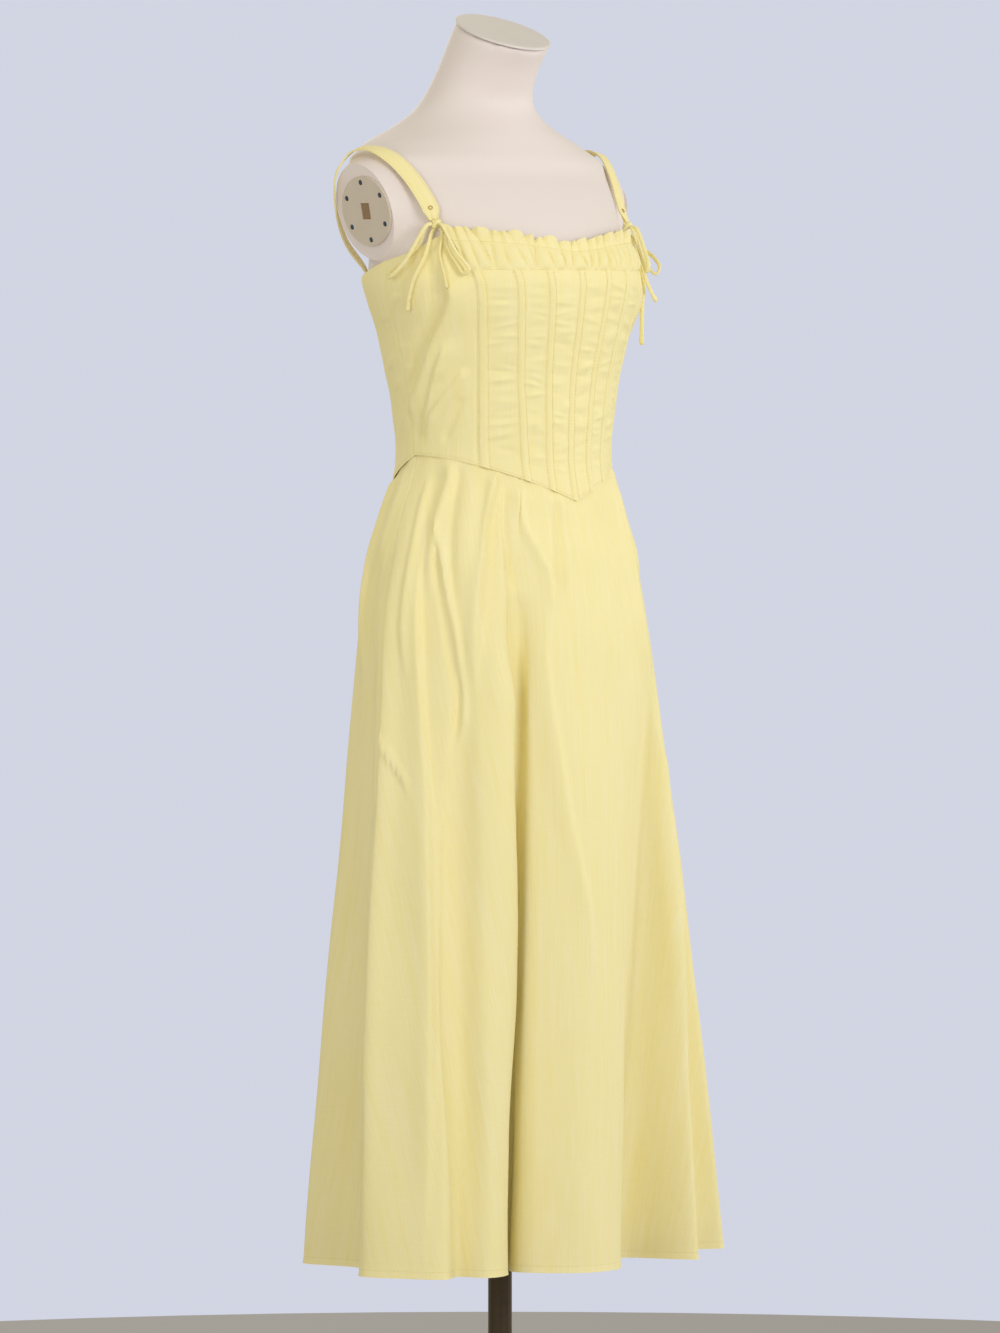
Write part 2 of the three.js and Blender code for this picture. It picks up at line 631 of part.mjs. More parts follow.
function torso() {
  const rings = [];
  const count = 38;
  for (let j = 0; j < FORM_ROWS.length; j += 1) {
    const row = FORM_ROWS[j];
    const ring = [];
    for (let i = 0; i < count; i += 1) {
      const [x, y] = around(row, 2 * Math.PI * i / count);
      const reach = (y - row.mid) / ((row.front + row.back) / 2);
      ring.push([x, y, row.z + row.rise * reach]);
    }
    rings.push(ring);
  }
  let solid = toSolid(stack(rings));
  for (const side of [-1, 1]) {
    for (const stump of STUMPS) {
      const round = new THREE.SphereGeometry(1, 24, 16);
      round.scale(stump.wide, stump.deep, stump.high);
      round.rotateX(-rad(stump.lean));
      round.translate(side * stump.x, stump.y, stump.z);
      solid = solid.add(toSolid(round));
    }
    const beyond = new THREE.BoxGeometry(200, 200, 60);
    beyond.applyMatrix4(plateFrame(side, 30));
    solid = solid.subtract(toSolid(beyond));
  }
  return toGeometry(solid);
}

// The arm plate: a disc with six round recesses near its rim and a slot in the middle.
function armPlate(side) {
  const disc = new THREE.CylinderGeometry(PLATE.radius, PLATE.radius, PLATE.thick, 28);
  disc.rotateX(Math.PI / 2);
  let solid = toSolid(disc);
  for (let i = 0; i < PLATE_HOLES.count; i += 1) {
    const hole = new THREE.CylinderGeometry(PLATE_HOLES.radius, PLATE_HOLES.radius,
      2 * PLATE_HOLES.deep, 8);
    hole.rotateX(Math.PI / 2);
    const turn = rad(PLATE_HOLES.start + 360 * i / PLATE_HOLES.count);
    hole.translate(PLATE_HOLES.reach * Math.cos(turn), PLATE_HOLES.reach * Math.sin(turn),
      PLATE.thick / 2);
    solid = solid.subtract(toSolid(hole));
  }
  const slot = new THREE.BoxGeometry(PLATE_SLOT.tall, PLATE_SLOT.wide, 2 * PLATE_SLOT.deep);
  slot.translate(0, 0, PLATE.thick / 2);
  solid = solid.subtract(toSolid(slot));
  const geometry = toGeometry(solid);
  geometry.applyMatrix4(plateFrame(side, PLATE.thick / 2 + SEAM));
  return geometry;
}

function neckCap() {
  const top = FORM_ROWS[FORM_ROWS.length - 1];
  const ring = (grow, up) => {
    const points = [];
    for (let i = 0; i < 38; i += 1) {
      const [x, y] = around(top, 2 * Math.PI * i / 38, grow);
      const reach = (y - top.mid) / ((top.front + top.back) / 2);
      points.push([x, y, top.z + top.rise * reach + up]);
    }
    return points;
  };
  return stack([ring(0, SEAM), ring(0.6, 1), ring(0.6, 2.6), ring(-1, 3.4)]);
}

function turned(profile, sides) {
  const geometry = new THREE.LatheGeometry(
    profile.map(([r, z]) => new THREE.Vector2(r, z)), sides);
  geometry.rotateX(Math.PI / 2);
  return geometry;
}

// ---------------------------------------------------------------- the object
const dress = new THREE.Group();
dress.add(meshOf('front_panel', CLOTH, frontPanel()));
for (const channel of CHANNELS) {
  const [column, side] = channel;
  const name = column ? `${column}_${side < 0 ? 'right' : 'left'}` : 'centre';
  dress.add(meshOf(`boning_channel_${name}`, CLOTH, boningChannel(channel)));
}
for (const [side, word] of [[-1, 'right'], [1, 'left']]) {
  dress.add(meshOf(`side_front_${word}`, CLOTH, sideFront(side)));
  dress.add(meshOf(`back_${word}`, CLOTH, backPanel(side)));
  dress.add(meshOf(`strap_${word}`, CLOTH, strap(side)));
  const routes = TIE_ROUTES[word];
  dress.add(meshOf(`tie_knot_${word}`, CLOTH, tieKnot(side)));
  for (const piece of ['loop_a', 'loop_b', 'tail_a', 'tail_b']) {
    const steps = piece.startsWith('loop') ? 14 : 8;
    const path = tieStrand(side, piece, routes[piece]);
    dress.add(meshOf(`tie_${piece}_${word}`, CLOTH, cordAlong(path, steps)));
  }
}
dress.add(meshOf('neck_frill', CLOTH, frill()));
const rightSeam = FOLDS.findIndex((fold) => fold.waist === -90);
const leftSeam = FOLDS.findIndex((fold) => fold.waist === 90);
dress.add(meshOf('skirt_front', CLOTH, skirtHalf(rightSeam, leftSeam)));
dress.add(meshOf('skirt_back', CLOTH, skirtHalf(leftSeam, rightSeam + FOLDS.length)));

const stand = new THREE.Group();
stand.add(meshOf('form_torso', FORM, torso()));
stand.add(meshOf('form_neck_cap', FORM, neckCap()));
stand.add(meshOf('arm_plate_right', PLATE_PLASTIC, armPlate(-1)));
stand.add(meshOf('arm_plate_left', PLATE_PLASTIC, armPlate(1)));
const bottom = FORM_ROWS[0].z;
stand.add(meshOf('pole', BRONZE, turned([
  [0, POLE.bottom + SEAM], [POLE.radius, POLE.bottom + SEAM],
  [POLE.radius, bottom - FLANGE.deep - FLANGE.neck], [FLANGE.radius, bottom - FLANGE.deep],
  [FLANGE.radius, bottom - SEAM], [0, bottom - SEAM]], 24)));
stand.add(meshOf('base', BRONZE, turned([
  [0, 0], [BASE.radius - BASE.chamfer, 0], [BASE.radius, BASE.chamfer], [BASE.radius, BASE.rim],
  [BASE.radius - BASE.slope, BASE.rim + BASE.slope / 4], [BASE.hub, POLE.bottom],
  [0, POLE.bottom]], 36)));

const part = new THREE.Group();
part.add(dress, stand);
export default part;
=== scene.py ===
"""A sleeveless midi dress with a boned corset bodice, on a limbless dress form and its stand.

Every piece is built in place, in metres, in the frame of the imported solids: +Z up, -Y the front,
+X the wearer's left, the origin under the stand's base. Sizes of the dress and the form are in
millimetres and degrees, and those of the camera, the floor and the lights in metres.
"""
import math

import bmesh
import bpy
import numpy as np
from mathutils import Matrix, Vector


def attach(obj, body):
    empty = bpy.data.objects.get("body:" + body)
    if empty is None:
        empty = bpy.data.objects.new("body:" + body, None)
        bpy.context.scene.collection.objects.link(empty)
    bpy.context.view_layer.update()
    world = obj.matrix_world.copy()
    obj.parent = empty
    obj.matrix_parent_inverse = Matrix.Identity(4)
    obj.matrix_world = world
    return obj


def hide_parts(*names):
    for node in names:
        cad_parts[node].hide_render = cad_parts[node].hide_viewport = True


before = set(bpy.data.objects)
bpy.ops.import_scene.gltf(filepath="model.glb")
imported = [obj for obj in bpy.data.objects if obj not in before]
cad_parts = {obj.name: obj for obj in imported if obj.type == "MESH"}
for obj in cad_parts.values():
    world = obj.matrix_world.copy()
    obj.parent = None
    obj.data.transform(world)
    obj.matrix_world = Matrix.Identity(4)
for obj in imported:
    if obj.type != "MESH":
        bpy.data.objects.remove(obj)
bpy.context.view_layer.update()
MM = 0.001

# ------------------------------------------------------------------ camera, floor and light
# A long lens at chest height, turned 42 degrees towards the wearer's right. The floor is a plain
# pale disc, the backdrop a pale cool grey, and four large soft boxes and warm bounced light fill it.
VIEW_TURN = -42
VIEW_FROM = 9.0
VIEW_HEIGHT = 1.2
AIM_HEIGHT = 0.884
LENS = 233.3
SENSOR = 36
BACKDROP = (0.644, 0.667, 0.765, 1)
BOUNCE = (1, 0.95, 0.76, 1)
BOUNCE_STRENGTH = 0.62
LIGHTS_AIM = 0.95
FLOOR_RADIUS = 1.9
FLOOR_SIDES = 96
FLOOR_GREY = (0.33, 0.32, 0.34, 1)


def in_scene(name, data):
    thing = bpy.data.objects.new(name, data)
    bpy.context.collection.objects.link(thing)
    return thing


def set_up(thing, turn, away, height, aim):
    """Stand a camera or a light at a turn round the dress (0 is its front), aimed at its axis."""
    turn = math.radians(turn)
    at = Vector((math.sin(turn) * away, -math.cos(turn) * away, height))
    thing.location = at
    thing.rotation_euler = (Vector((0, 0, aim)) - at).to_track_quat("-Z", "Y").to_euler()


camera = in_scene("camera", bpy.data.cameras.new("camera"))
camera.data.lens = LENS
camera.data.sensor_width = SENSOR
camera.data.clip_end = 100
set_up(camera, VIEW_TURN, VIEW_FROM, VIEW_HEIGHT, AIM_HEIGHT)
bpy.context.scene.camera = camera

world = bpy.data.worlds.new("studio")
world.use_nodes = True
air = world.node_tree
backdrop = air.nodes["Background"]
backdrop.inputs["Color"].default_value = BACKDROP
bounce = air.nodes.new("ShaderNodeBackground")
bounce.inputs["Color"].default_value = BOUNCE
bounce.inputs["Strength"].default_value = BOUNCE_STRENGTH
seen = air.nodes.new("ShaderNodeLightPath")
either = air.nodes.new("ShaderNodeMixShader")
air.links.new(seen.outputs["Is Camera Ray"], either.inputs["Fac"])
air.links.new(bounce.outputs["Background"], either.inputs[1])
air.links.new(backdrop.outputs["Background"], either.inputs[2])
air.links.new(either.outputs["Shader"], air.nodes["World Output"].inputs["Surface"])
bpy.context.scene.world = world
bpy.context.scene.view_settings.view_transform = "Standard"

# each soft box's turn round the dress, metres away, height, size, watts and colour
for name, turn, away, height, size, power, colour in (
        ("key_box", -6, 4.2, 2.0, 1.5, 58, (1, 1, 1)),
        ("fill_box", -75, 4.4, 1.7, 2.2, 30, (1, 0.985, 0.96)),
        ("side_box", 64, 4.4, 1.5, 2.2, 40, (1, 1, 1)),
        ("back_box", 150, 4.0, 2.4, 2.0, 30, (1, 0.97, 0.92))):
    box = in_scene(name, bpy.data.lights.new(name, "AREA"))
    box.data.size = size
    box.data.energy = power
    box.data.color = colour
    set_up(box, turn, away, height, LIGHTS_AIM)

floor_points = [(FLOOR_RADIUS * math.cos(a), FLOOR_RADIUS * math.sin(a), 0)
                for a in np.linspace(0, 2 * math.pi, FLOOR_SIDES, endpoint=False)]
floor_mesh = bpy.data.meshes.new("floor")
floor_mesh.from_pydata(floor_points, [], [list(range(FLOOR_SIDES))])
floor = in_scene("floor", floor_mesh)
floor_look = bpy.data.materials.new("floor_matt")
floor_look.use_nodes = True
floor_shader = floor_look.node_tree.nodes["Principled BSDF"]
floor_shader.inputs["Base Color"].default_value = FLOOR_GREY
floor_shader.inputs["Roughness"].default_value = 0.7
floor_mesh.materials.append(floor_look)

# ------------------------------------------------------------------ the dress cloth
# A light cotton and linen plain weave in pale yellow. Thick and thin yarns (slubs) run down and
# across it, the shade drifts a little, and the weave itself only shows close up.
CLOTH_LIGHT = (0.95, 0.875, 0.565)
CLOTH_DEEP = (0.92, 0.82, 0.38)
# cells a metre across and down the cut, for each kind of unevenness of the yarns
DOWN_SLUBS = (420, 14, 1)
ACROSS_SLUBS = (16, 500, 1)
STREAKS = (110, 3.5, 1)
SHADE_DRIFT = (9, 5, 1)
FINE_GRAIN = (2600, 2600, 1)
WEAVE = 11000  # radians a metre: a yarn over and a yarn under in 0.57 mm


def feed(slot, value):
    """Link a Value to an input socket, or set the socket to a number, vector or colour."""
    if isinstance(value, Value):
        value.tree.links.new(value.socket, slot)
    else:
        slot.default_value = value


def wire(node, **inputs):
    """Feed a node's input sockets by name."""
    for key, value in inputs.items():
        feed(node.inputs[key.replace("_", " ")], value)


class Value:
    """A shader value. Arithmetic on it adds Math nodes, and node() adds any other node."""

    def __init__(self, tree, socket):
        self.tree = tree
        self.socket = socket

    def node(self, kind, output, settings=None, **inputs):
        made = self.tree.nodes.new(kind)
        for key, value in (settings or {}).items():
            setattr(made, key, value)
        wire(made, **inputs)
        return Value(self.tree, made.outputs[output])

    def maths(self, operation, first, second):
        made = self.tree.nodes.new("ShaderNodeMath")
        made.operation = operation
        feed(made.inputs[0], first)
        feed(made.inputs[1], second)
        return Value(self.tree, made.outputs[0])

    def __add__(self, other):
        return self.maths("ADD", self, other)

    def __radd__(self, other):
        return self.maths("ADD", other, self)

    def __sub__(self, other):
        return self.maths("SUBTRACT", self, other)

    def __rsub__(self, other):
        return self.maths("SUBTRACT", other, self)

    def __mul__(self, other):
        return self.maths("MULTIPLY", self, other)

    def __rmul__(self, other):
        return self.maths("MULTIPLY", other, self)


def new_look(name, source, output):
    """A material, its shader node and a first Value from a source node."""
    look = bpy.data.materials.new(name)
    look.use_nodes = True
    start = look.node_tree.nodes.new(source)
    return (look, look.node_tree.nodes["Principled BSDF"],
            Value(look.node_tree, start.outputs[output]))


def stretched(place, cells, detail=3.0):
    """Noise over a place, with its own number of cells a metre along each axis."""
    scaled = place.node("ShaderNodeVectorMath", "Vector", {"operation": "MULTIPLY"})
    feed(scaled.socket.node.inputs[0], place)
    feed(scaled.socket.node.inputs[1], cells)
    return scaled.node("ShaderNodeTexNoise", "Fac", Vector=scaled, Scale=1.0, Detail=detail,
                       Roughness=0.55)


def blended(tone, low, high):
    """A colour between two, by a tone from 0 to 1."""
    return tone.node("ShaderNodeMix", "Result", {"data_type": "RGBA"}, Factor=tone,
                     A=(*low, 1), B=(*high, 1))


def raised(height, strength, distance):
    """The normal of a surface with a fine relief."""
    return height.node("ShaderNodeBump", "Normal", Height=height, Strength=strength,
                       Distance=distance)


def woven_cloth(name):
    """Plain weave over the panel's own cut, in metres, across and down."""
    look, shader, place = new_look(name, "ShaderNodeUVMap", "UV")
    down_yarns = stretched(place, DOWN_SLUBS)
    across_yarns = stretched(place, ACROSS_SLUBS)
    streaks = stretched(place, STREAKS, 2.0)
    drift = stretched(place, SHADE_DRIFT, 2.0)
    fine = stretched(place, FINE_GRAIN, 1.0)
    tone = 0.5 + (down_yarns - 0.5) * 1.3 + (across_yarns - 0.5) * 0.5
    tone = tone + (streaks - 0.5) * 0.8 + (drift - 0.5) * 0.5 + (fine - 0.5) * 0.2
    # the yarns' relief: slubs over the plain over-and-under of the weave
    across = place.node("ShaderNodeSeparateXYZ", "X", Vector=place)
    down = Value(place.tree, across.socket.node.outputs["Y"])
    warp, weft = (run.maths("SINE", run * WEAVE, 0.0) for run in (across, down))
    height = down_yarns * 0.7 + across_yarns * 0.4 + warp * weft * 0.12 + fine * 0.15
    wire(shader, Base_Color=blended(tone, CLOTH_DEEP, CLOTH_LIGHT),
         Normal=raised(height, 0.35, 0.0006), Roughness=0.82 + (fine - 0.5) * 0.12,
         Sheen_Weight=0.12, Sheen_Roughness=0.45, Specular_IOR_Level=0.25)
    return look


cloth = woven_cloth("yellow_plain_weave")

# ------------------------------------------------------------------ skirt
# Two wide panels of the plain weave, seamed at the sides, drawn into soft unpressed pleats at the
# waist and hanging free in deep uneven folds. The narrow hem is turned up and machine stitched.
WALL = 1.5
SHEER = 0.9
HEM_Z = 264
POINT_Z = 1058
SIDE_PEAK_Z = 1105
BACK_DROP = 45
SKIRT_TUCK = 9
TUCK_GAP = 0.7
OPENS_Z = 1060  # the folds turn from their place at the waist to that at the hem below this
PLEAT_Z = 1035
PLEAT_FADE = 60
HEM_TURN_UP = 7
CREASE_HEIGHT = 1.3  # the creases' listed rises are multiplied by this
KNEE = 0.6  # a share of the way down
SKIRT_COLUMNS = 330
SHARP_EDGE = math.radians(50)


def columns_of(names, lines):
    """A short table as one array for each named column."""
    return dict(zip(names.split(), np.array(lines, float).T))


DRESS = columns_of("z half front back square", [
    (264, 240, 167, 151, 2), (318, 236, 166, 147, 2), (411, 227, 165, 141, 2),
    (505, 218, 163, 136, 2), (599, 207, 161, 131, 2), (693, 196, 158, 125, 2),
    (786, 184, 153, 123, 2), (849, 176, 148, 121, 2), (911, 168, 143, 121, 2),
    (943, 163, 139, 121, 2), (974, 157, 134, 120, 2), (1005, 150, 129, 118, 2),
    (1036, 140, 121, 109, 2), (1057, 132, 118, 103, 2), (1080, 122, 113, 97, 2),
    (1099, 119, 110, 95, 2), (1120, 119, 110, 95, 2), (1151, 123, 111, 95, 2.05),
    (1182, 129, 113, 99, 2.05), (1214, 136, 118, 103, 2.1), (1234, 141, 122, 106, 2.1),
    (1266, 152, 127, 112, 2.15), (1290, 155, 127, 120, 2.15), (1345, 142, 104, 113, 2.1),
])

# One row for each fold at the hem: its turn at the waist and at the hem, its place in plan at the
# hem, the height at which it starts, how it grows, and how far the waist is drawn in there.
FOLDS = columns_of("waist hem x y start grow pleat", [
    (-180, -180, 0, 118, 900, 1, 2), (-163, -165, -60, 157, 960, 1, 0),
    (-147, -148, -98, 108, 900, 1, 3), (-128, -130, -175, 112, 940, 1, 0),
    (-112, -112, -163, 46, 960, 1, 2), (-100, -96, -180, 2, 1000, 0.9, 0),
    (-90, -78, -220, -30, 1030, 1, 0), (-79, -66, -201, -78, 960, 0.9, 2),
    (-70, -57, -177, -111, 1030, 1, 4), (-55, -47, -147, -99, 1000, 1, 0),
    (-46, -40, -130, -128, 960, 1, 5), (-38, -36, -95, -117, 940, 0.9, 0),
    (-31, -31, -66, -72, 960, 0.75, 1), (-29, -27.5, -52, -72, 960, 0.75, 2),
    (-24, -22, -72, -106, 960, 0.85, 0), (-14, -10, -36, -152, 960, 1, 4),
    (0, 3, 8, -158, 1000, 1, 0), (13, 11, 42, -140, 900, 1, 2),
    (24, 24, 74, -82, 860, 1.1, 3), (33, 34, 112, -74, 900, 1, 2),
    (42, 42, 152, -138, 1030, 1, 0), (53, 53, 174, -96, 980, 0.9, 3),
    (63, 66, 210, -56, 980, 0.9, 2), (74, 76, 254, -72, 1050, 0.8, 0),
    (90, 92, 242, -8, 1000, 1, 0), (104, 104, 200, 14, 940, 1, 3),
    (119, 117, 214, 72, 960, 1, 0), (134, 132, 150, 76, 920, 1, 3),
    (148, 147, 130, 138, 950, 1, 0), (163, 164, 58, 106, 920, 1, 2),
])
FOLD_COUNT = len(FOLDS["waist"])
RIGHT_SEAM = 6
LEFT_SEAM = 24


def joined(start, end, leave, arrive, k, width=1):
    """A smooth run from start to end at a share k of its width, with a slope at either end."""
    return (start * (1 + 2 * k) * (1 - k) ** 2 + end * k * k * (3 - 2 * k)
            + width * (leave * k * (1 - k) ** 2 - arrive * k * k * (1 - k)))


def curve(keys, values, at):
    """A smooth curve through values over rising keys."""
    at = np.asarray(at, float)
    count = np.arange(len(keys))
    low = np.clip(count - 1, 0, None)
    high = np.clip(count + 1, None, len(keys) - 1)
    slope = (values[high] - values[low]) / (keys[high] - keys[low])
    i = np.clip(np.searchsorted(keys, at, side="left") - 1, 0, len(keys) - 2)
    width = keys[i + 1] - keys[i]
    k = np.clip((at - keys[i]) / width, 0, 1)
    return joined(values[i], values[i + 1], slope[i], slope[i + 1], k, width)


def ease(k):
    k = np.clip(k, 0, 1)
    return k * k * (3 - 2 * k)


def hump(distance, width):
    """A soft round hump: 1 at no distance, and nearly nothing past twice its width."""
    return np.exp(-((distance / width) ** 2))


def unit(vectors):
    return vectors / np.maximum(np.linalg.norm(vectors, axis=-1, keepdims=True), 1e-9)


def paced(points, axis=0):
    """The distance run along a line of points, or along each column or row (1) of a grid."""
    steps = np.linalg.norm(np.diff(points, axis=axis), axis=-1)
    return np.insert(np.cumsum(steps, axis), 0, 0, axis)


def around(section, turn, out=0.0):
    """Points of a section at a turn from the centre front, moved out along its normal."""
    mid = section.get("mid", 0.0)
    sin, cos = np.sin(turn), np.cos(turn)
    square = section["square"]
    depth = np.where(cos > 0, section["front"] + mid, section["back"] - mid)
    x = section["half"] * np.sign(sin) * np.abs(sin) ** (2 / square)
    y = -depth * np.sign(cos) * np.abs(cos) ** (2 / square)
    nx = np.sign(x) * np.abs(x / section["half"]) ** (square - 1) / section["half"]
    ny = np.sign(y) * np.abs(y / depth) ** (square - 1) / depth
    size = np.hypot(nx, ny)
    return x + out * nx / size, mid + y + out * ny / size


def section_at(table, z):
    return {name: curve(table["z"], table[name], z) for name in table if name != "z"}


def on_dress(turn, z, out):
    x, y = around(section_at(DRESS, z), turn, out)
    return np.stack([x, y, z + 0 * x], -1)


def bodice_hem(turn):
    away = np.abs(np.sin(turn))
    return np.where(np.cos(turn) > 0, POINT_Z + (SIDE_PEAK_Z - POINT_Z) * away,
                    SIDE_PEAK_Z + BACK_DROP * np.cos(turn))


def round_folds(s, value_of):
    """A closed smooth curve at running fold numbers through what value_of gives at whole ones."""
    i = np.floor(s).astype(int)
    a, b, c, d = (value_of(i + n) for n in (-1, 0, 1, 2))
    return joined(b, c, (c - a) / 2, (d - b) / 2, s - i)


def fold_turn(s, name):
    """The turn from the centre front at fold numbers, at the waist or at the hem."""
    return np.radians(round_folds(
        s, lambda n: FOLDS[name][n % FOLD_COUNT] + 360 * (n // FOLD_COUNT)))


def skirt_surface(s, down):
    """The middle of the skirt's cloth at a running fold number and a share of the way down."""
    waist = fold_turn(s, "waist")
    top = bodice_hem(waist)
    z = top + SKIRT_TUCK
    z = z + (HEM_Z - z) * down
    turn = waist + (fold_turn(s, "hem") - waist) * ease((OPENS_Z - z) / (OPENS_Z - HEM_Z))

    def swung(n, reach):
        n = n % FOLD_COUNT
        grown = np.clip((FOLDS["start"][n] - z) / (FOLDS["start"][n] - HEM_Z), 0, 1)
        return grown ** FOLDS["grow"][n] * reach[n]

    swing_x, swing_y = (
        round_folds(s, lambda n: swung(n, FOLDS[axis] - rest))
        for axis, rest in zip("xy", around(section_at(DRESS, HEM_Z), np.radians(FOLDS["hem"]))))
    pleat = round_folds(s, lambda n: FOLDS["pleat"][n % FOLD_COUNT]) * hump(z - PLEAT_Z, PLEAT_FADE)
    tucked = 1 - ease((top - z - 2) / 18)
    inward = (pleat + WALL / 2) * (1 - tucked) + (WALL + TUCK_GAP + WALL / 2) * tucked
    x, y = around(section_at(DRESS, z), turn, -inward)
    return np.stack([x + swing_x, y + swing_y, z], -1)


def normals_of(points):
    """Outward normals of a grid whose columns run to the wearer's left at the front."""
    return unit(np.cross(np.gradient(points, axis=0), np.gradient(points, axis=1)))


STRIP_WIDTH = 10.5  # the narrow strips have their long edges turned under


def sheet(outer):
    """Work out the widest row of a shell's cloth laid flat, and its slanting steps; nothing is kept or
    given back.
    """
    width = np.linalg.norm(np.diff(outer, axis=1), axis=-1).sum(1).max() * MM
    width = max(width, STRIP_WIDTH * MM)
    slants = outer[1:, 1:] - outer[:-1, :-1], outer[1:, :-1] - outer[:-1, 1:]


def smooth_mesh(name, points, faces, look, cut=None):
    """A smooth mesh from points in mm, with each point's place on the flat cloth as its UV."""
    mesh = bpy.data.meshes.new(name)
    mesh.from_pydata((points * MM).tolist(), [], faces)
    if cut is not None:
        layer = mesh.uv_layers.new(name="cut")
        corners = np.empty(len(mesh.loops), int)
        mesh.loops.foreach_get("vertex_index", corners)
        layer.data.foreach_set("uv", (cut * MM)[corners].ravel())
    mesh.polygons.foreach_set("use_smooth", np.ones(len(mesh.polygons), bool))
    mesh.materials.append(look)
    return mesh


def fixed(piece, slot, *nodes):
    """Put a finished piece on the one body, in place of the named solids. The slot is not used."""
    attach(piece, "root")
    if nodes:
        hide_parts(*nodes)
    return piece


def flat_places(points):
    """Each grid point's place on the flat cloth: along its row and down its column, in mm."""
    along = paced(points, 1)
    along = along - along[:, along.shape[1] // 2][:, None]
    return np.stack([along, paced(points)], -1)


def shell(node, outer, thick=SHEER, cut=None, normal=None):
    """A closed thin sheet in place of a solid, from its outside grid in mm."""
    rows, cols = outer.shape[:2]
    inner = outer - (normals_of(outer) if normal is None else normal) * thick
    points = np.concatenate([outer.reshape(-1, 3), inner.reshape(-1, 3)])
    index = np.arange(rows * cols).reshape(rows, cols)
    back = index + rows * cols
    a, b, c, d = index[:-1, :-1], index[1:, :-1], index[1:, 1:], index[:-1, 1:]
    faces = [np.stack([a, b, c, d], -1).reshape(-1, 4),
             np.stack([a, d, c, b], -1).reshape(-1, 4) + rows * cols]
    for edge in (0, -1):
        top, low = index[edge, :-1], index[edge, 1:]
        rim = [top, low, back[edge, 1:], back[edge, :-1]]
        faces.append(np.stack(rim if edge == 0 else rim[::-1], -1))
        left, right = index[:-1, edge], index[1:, edge]
        rim = [left, back[:-1, edge], back[1:, edge], right]
        faces.append(np.stack(rim if edge == 0 else rim[::-1], -1))
    cut = (flat_places(outer) if cut is None else cut).reshape(-1, 2)
    name = f"{node}_cloth"
    mesh = smooth_mesh(name, points, np.concatenate(faces).tolist(), cloth,
                       np.concatenate([cut, cut]))
    mesh.set_sharp_from_angle(angle=SHARP_EDGE)
    piece = fixed(in_scene(name, mesh), "cloth", node)
    sheet(outer)
